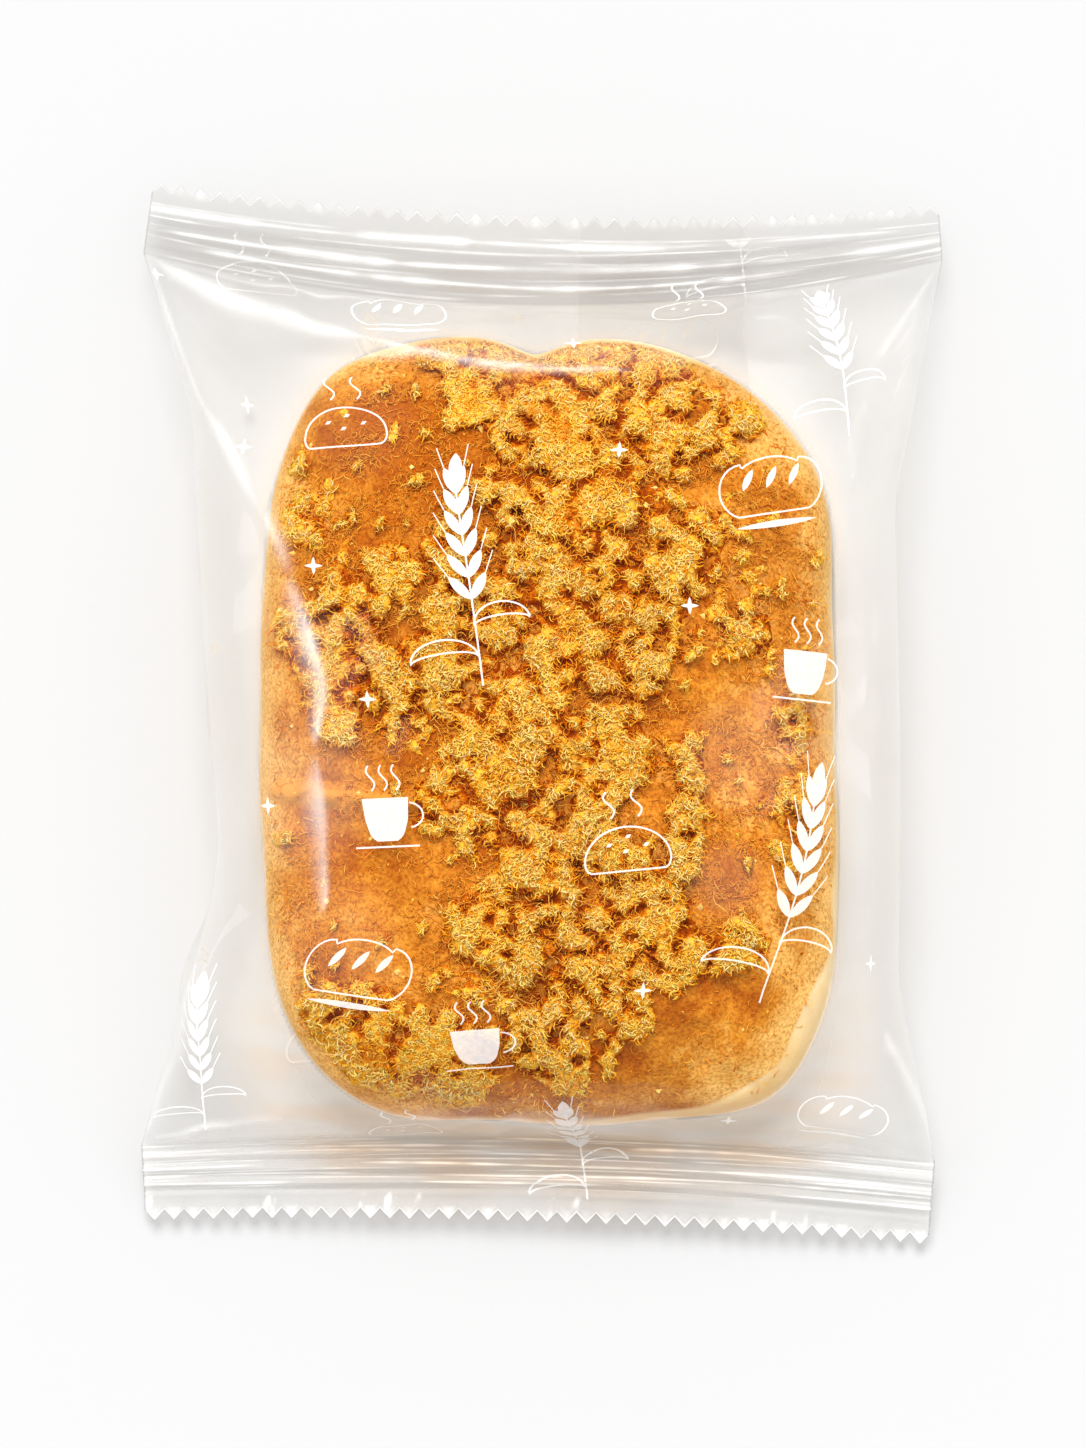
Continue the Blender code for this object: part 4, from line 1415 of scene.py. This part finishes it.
def surfaced(material, graph, shader):
    """The material with this shader as its surface."""
    graph.add("ShaderNodeOutputMaterial", Surface=shader)
    return material


FILM_GLOSS, FILM_GLANCE = 0.014, 4.0  # the share reflected straight on, and how fast it grows at a glance
FILM_TINT, SEALED_TINT = (0.985, 0.982, 0.977), (0.895, 0.890, 0.883)
BOUNCE_TINT = (1.0, 0.84, 0.69)  # painted bounce: the bun's colour, painted into the film beside it
FILM_ROUGHNESS = 0.09
MILK, MILK_ROUGHNESS = (0.93, 0.92, 0.90), 0.3
SEAL_MILK = 0.05


def film_material():
    """Clear glossy film: mirror-like at a glance, greyer where it is sealed, with painted white glints and
    sheen, and the bun's colour painted in as bounce.
    """
    material, graph = new_material("clear_film_look")
    facing = graph.add("ShaderNodeLayerWeight", Blend=0.5).outputs["Facing"]
    glance = graph.math("POWER", facing, FILM_GLANCE)
    shine = graph.math("MULTIPLY_ADD", glance, 1 - FILM_GLOSS, FILM_GLOSS)
    sealed = graph.field("sealed")
    tint = graph.blend(sealed, FILM_TINT, SEALED_TINT)
    glow = graph.blend(graph.field("glow"), (1.0, 1.0, 1.0), BOUNCE_TINT)
    clear = graph.shader("Transparent", Color=graph.tinted(tint, glow))
    gloss = graph.shader("Glossy", Color=(1.0, 1.0, 1.0), Roughness=FILM_ROUGHNESS)
    film = graph.layered(shine, clear, gloss)
    # The white layer paints the glints, the sheen and the lifted shade, and gives the seals their own
    # milkiness
    painted_light = graph.shader("Principled", Base_Color=graph.tinted(MILK, glow), Roughness=MILK_ROUGHNESS)
    white = graph.math("ADD", graph.field("whitening"), graph.math("MULTIPLY", sealed, SEAL_MILK))
    return surfaced(material, graph, graph.layered(white, film, painted_light))


INK_COVER, INK_PATCHES, INK_ROUGHNESS = 0.52, 900.0, 0.45
INK_THIN, INK_THICK = (0.84, 0.84, 0.83), (0.92, 0.92, 0.91)


def ink_material():
    """White ink, a little thin so that what lies behind comes through."""
    material, graph = new_material("white_ink")
    patchy = graph.ramp(graph.noise(INK_PATCHES), (0.35, INK_THIN), (0.65, INK_THICK))
    body = graph.shader("Principled", Base_Color=patchy, Roughness=INK_ROUGHNESS)
    return surfaced(material, graph, graph.layered(INK_COVER, graph.shader("Transparent"), body))


CRUST_DARK, CRUST_MIDDLE, CRUST_LIGHT = (0.32, 0.078, 0.003), (0.50, 0.184, 0.014), (0.65, 0.335, 0.070)
CRUST_SIDE = (0.78, 0.46, 0.13)
CRUST_PALE, CRUST_PALE_LOW = (0.81, 0.59, 0.28), (0.86, 0.69, 0.41)
# What freckles multiply the crust's colour by, where they are darkest and lightest
FRECKLE_DARK, FRECKLE_LIGHT, FRECKLE_SHARE = (0.68, 0.56, 0.42), (1.12, 1.15, 1.25), 0.8
STRIP_COLOUR, STRIP_COVER = (0.62, 0.26, 0.03), 0.7
SIDE_LIGHTER, BROWNED_DARKER = 1.35, -0.22
CRUST_ROUGHNESS, CRUST_SHINE = 0.52, 0.06
# Sizes of the crust's noise, in bumps a metre
BLOTCHES, FRECKLES, PALE_BLOTCHES, PORES = 110.0, 2000.0, 120.0, 1100.0
PORE_STRENGTH, PORE_DEPTH = 0.35, 0.0004


def crust_material():
    """Soft baked crust: patchy golden brown with freckles and pores, and pale low on its sides."""
    material, graph = new_material("soft_crust")
    lighter = graph.math("MULTIPLY", graph.field("side"), SIDE_LIGHTER)
    tone = graph.math("MULTIPLY_ADD", lighter, 0.25, graph.noise(BLOTCHES, 8.0, 0.75))
    tone = graph.math("MULTIPLY_ADD", graph.field("browned"), BROWNED_DARKER, tone)
    stops = ((0.36, CRUST_DARK), (0.52, CRUST_MIDDLE), (0.70, CRUST_LIGHT), (0.88, CRUST_SIDE))
    brown = graph.ramp(tone, *stops)
    freckles = graph.ramp(graph.noise(FRECKLES), (0.38, FRECKLE_DARK), (0.56, FRECKLE_LIGHT))
    crust = graph.blend(FRECKLE_SHARE, brown, freckles, "MULTIPLY")
    crust = graph.blend(graph.math("MULTIPLY", graph.field("strip"), STRIP_COVER), crust, STRIP_COLOUR)
    pale = graph.ramp(graph.noise(PALE_BLOTCHES), (0.35, CRUST_PALE), (0.65, CRUST_PALE_LOW))
    colour = graph.blend(graph.field("pale"), crust, pale)
    pores = graph.bump(graph.noise(PORES, 4.0, 0.7), PORE_STRENGTH, PORE_DEPTH)
    look = {"Roughness": CRUST_ROUGHNESS, "Specular_IOR_Level": CRUST_SHINE}
    return surfaced(material, graph, graph.shader("Principled", Base_Color=colour, Normal=pores, **look))


# Painted shade and light: the bed is dark in the gaps between the clumps and golden on their knobs
BED_DEEP, BED_LOW, BED_HIGH = (0.30, 0.042, 0.001), (0.62, 0.160, 0.003), (0.92, 0.50, 0.040)
BED_GRAIN, BED_STRENGTH, BED_BUMPS = 1300.0, 0.9, 0.0009


def bed_material():
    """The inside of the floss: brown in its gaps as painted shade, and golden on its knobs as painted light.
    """
    material, graph = new_material("floss_bed")
    fine = graph.noise(BED_GRAIN, 4.0, 0.7)
    tone = graph.math("MULTIPLY_ADD", graph.field("height"), 0.7, -0.15)
    tone = graph.math("MULTIPLY_ADD", fine, 0.7, tone)
    colour = graph.ramp(tone, (0.20, BED_DEEP), (0.45, BED_LOW), (0.80, BED_HIGH))
    bumps = graph.bump(fine, BED_STRENGTH, BED_BUMPS)
    look = {"Roughness": 0.8, "Specular_IOR_Level": 0.0}
    return surfaced(material, graph, graph.shader("Principled", Base_Color=colour, Normal=bumps, **look))


# Each kind's colours, from its darkest fibres, in painted shade low down and in the gaps, to its lightest, in
# painted light on the crests
TONE_PLACES = (0.0, 0.4, 0.7, 1.0)
TONES = {
    "low": ((0.50, 0.066, 0.001), (0.83, 0.230, 0.002), (0.92, 0.430, 0.008), (0.94, 0.60, 0.035)),
    "middle": ((0.70, 0.155, 0.001), (0.93, 0.470, 0.012), (0.95, 0.710, 0.090), (0.94, 0.84, 0.30)),
    "high": ((0.80, 0.230, 0.003), (0.95, 0.590, 0.034), (0.96, 0.820, 0.190), (0.95, 0.91, 0.50)),
    "wisps": ((0.78, 0.220, 0.004), (0.92, 0.520, 0.060), (0.93, 0.730, 0.200), (0.93, 0.88, 0.52)),
}
# How much of a fibre's tone is painted light and shade by where it stands, and how much is its own
PAINTED_LIGHT_WEIGHT, OWN_WEIGHT = 0.7, 0.3
FLOSS_THROUGH, THROUGH_TINT = 0.40, (1.0, 0.68, 0.20)  # light that comes through the fibres
FLOSS_ROUGHNESS, FLOSS_SHINE = 0.6, 0.02


def floss_material(name, tones):
    """Dry fibres, each of its own tone mixed with painted light and shade by where it stands, that let some
    light through.
    """
    material, graph = new_material(name + "_look")
    tone = graph.math("MULTIPLY", graph.field("height"), PAINTED_LIGHT_WEIGHT)
    tone = graph.math("MULTIPLY_ADD", graph.field("own"), OWN_WEIGHT, tone)
    colour = graph.ramp(tone, *zip(TONE_PLACES, TONES[tones]))
    look = {"Roughness": FLOSS_ROUGHNESS, "Specular_IOR_Level": FLOSS_SHINE}
    body = graph.shader("Principled", Base_Color=colour, **look)
    through = graph.shader("Translucent", Color=graph.tinted(colour, THROUGH_TINT))
    return surfaced(material, graph, graph.layered(FLOSS_THROUGH, body, through))


# The stage

FLOOR_COLOUR, FLOOR_ROUGHNESS = (0.432, 0.432, 0.434), 0.9
FLOOR_HALF = 3.0
ROOM_LIGHT, ROOM_MIRRORED = 1.06, 0.24
KEY_STRENGTH, KEY_SPREAD, KEY_TILT, KEY_FROM_LEFT = 4.4, 25.0, 28.0, 4.0
# Strips of light that the film mirrors: name, place, size and power
LIGHT_STRIPS = (
    ("left_strip", (-0.70, 0.05, 0.42), (0.10, 0.9), 0.9),
    ("right_strip", (0.75, 0.0, 0.40), (0.08, 0.7), 0.7),
)
AIM = (0, 0, 0.02)  # what they face


def floor():
    mesh = bpy.data.meshes.new("floor")
    corners = [(x * FLOOR_HALF, y * FLOOR_HALF, 0) for x, y in ((-1, -1), (1, -1), (1, 1), (-1, 1))]
    mesh.from_pydata(corners, [], [(0, 1, 2, 3)])
    material, graph = new_material("pale_floor")
    surface = graph.shader("Principled", Base_Color=FLOOR_COLOUR, Roughness=FLOOR_ROUGHNESS)
    mesh.materials.append(surfaced(material, graph, surface))
    in_scene("floor", mesh)


def softbox(name, place, size, power):
    """A rectangular light that faces the pack and is only mirrored in the film."""
    light = bpy.data.lights.new(name, "AREA")
    light.shape = "RECTANGLE"
    light.size, light.size_y = size
    light.energy = power
    lamp = in_scene(name, light)
    lamp.location = place
    lamp.rotation_euler = (Vector(AIM) - Vector(place)).to_track_quat("-Z", "Y").to_euler()
    lamp.visible_diffuse = False


def surroundings():
    """A white room that lights the pack, and that the film mirrors only faintly."""
    world = bpy.data.worlds.new("white_room")
    world.use_nodes = True
    graph = Graph(world.node_tree)
    back = graph.nodes["Background"]
    mirrored = graph.nodes.new("ShaderNodeLightPath").outputs["Is Glossy Ray"]
    strength = graph.math("MULTIPLY_ADD", mirrored, ROOM_MIRRORED - ROOM_LIGHT, ROOM_LIGHT)
    graph.feed(back.inputs["Color"], (1.0, 1.0, 1.0))
    graph.feed(back.inputs["Strength"], strength)
    bpy.context.scene.world = world


def key_light():
    """An even light from beyond the upper seal, soft-edged as a large window is."""
    light = bpy.data.lights.new("key", "SUN")
    light.energy = KEY_STRENGTH
    light.angle = math.radians(KEY_SPREAD)
    lamp = in_scene("key", light)
    lamp.rotation_euler = (math.radians(-KEY_TILT), math.radians(-KEY_FROM_LEFT), 0)
    lamp.visible_glossy = False


def lights():
    surroundings()
    key_light()
    for strip in LIGHT_STRIPS:
        softbox(*strip)


PHOTO_HEIGHT, PIXELS_PER_MM = 1448, 6.53
PHOTO_CENTRE = (0.3, -1.7)  # the drawing's point in the middle of the photo
CAMERA_HEIGHT, SCALE_HEIGHT = 1.2, 0.012  # the camera's, and the one at which the photo's scale holds
SENSOR = 36.0
FILM_BOUNCES, DIFFUSE_BOUNCES = 24, 8


def camera():
    """Looks straight down, framed as the photo is."""
    data = bpy.data.cameras.new("camera")
    data.sensor_width = SENSOR
    seen_height = PHOTO_HEIGHT / PIXELS_PER_MM * METRES
    data.lens = SENSOR * (CAMERA_HEIGHT - SCALE_HEIGHT) / seen_height
    eye = in_scene("camera", data)
    x, y = ((middle + moved) * METRES for middle, moved in zip(PHOTO_CENTRE, PLACE))
    eye.location = (x, y, CAMERA_HEIGHT)
    bpy.context.scene.camera = eye


def pack():
    """Everything that takes the place of the frame's solid."""
    over, under, painted_light, glow = shaped_film()
    points = np.concatenate([over.reshape(-1, 3), under.reshape(-1, 3)])
    low, high = points.min(0), points.max(0)
    cad_middle = (np.array(cad_low) + np.array(cad_high)) / 2 / METRES
    PLACE[:] = [*(cad_middle - (low + high) / 2)[:2], cad_low[2] / METRES]
    clear = film_material()
    film_piece(over, under, painted_light, glow, clear)
    fin_piece(under, clear)
    ids = np.arange(over.shape[0] * over.shape[1]).reshape(over.shape[:2])
    film_heights = Heights.of(over.reshape(-1, 3), quads(ids).tolist())
    bun_heights = Heights.of(*bun_piece(film_heights))
    bed, thickness, crest = bed_piece(bun_heights, film_heights)
    floss_pieces(bed, film_heights, thickness, crest)
    crumb_piece(bed, film_heights)
    white = ink_material()
    print_piece("print_front", Sheet(over, 1), (0, 0), white)
    print_piece("print_back", Sheet(under, -1), BACK_SHIFT, white)


def view_settings():
    scene = bpy.context.scene
    scene.view_settings.view_transform = "Standard"
    scene.cycles.transparent_max_bounces = FILM_BOUNCES
    scene.cycles.caustics_reflective = False
    scene.cycles.diffuse_bounces = DIFFUSE_BOUNCES


pack()
floor()
lights()
camera()
view_settings()
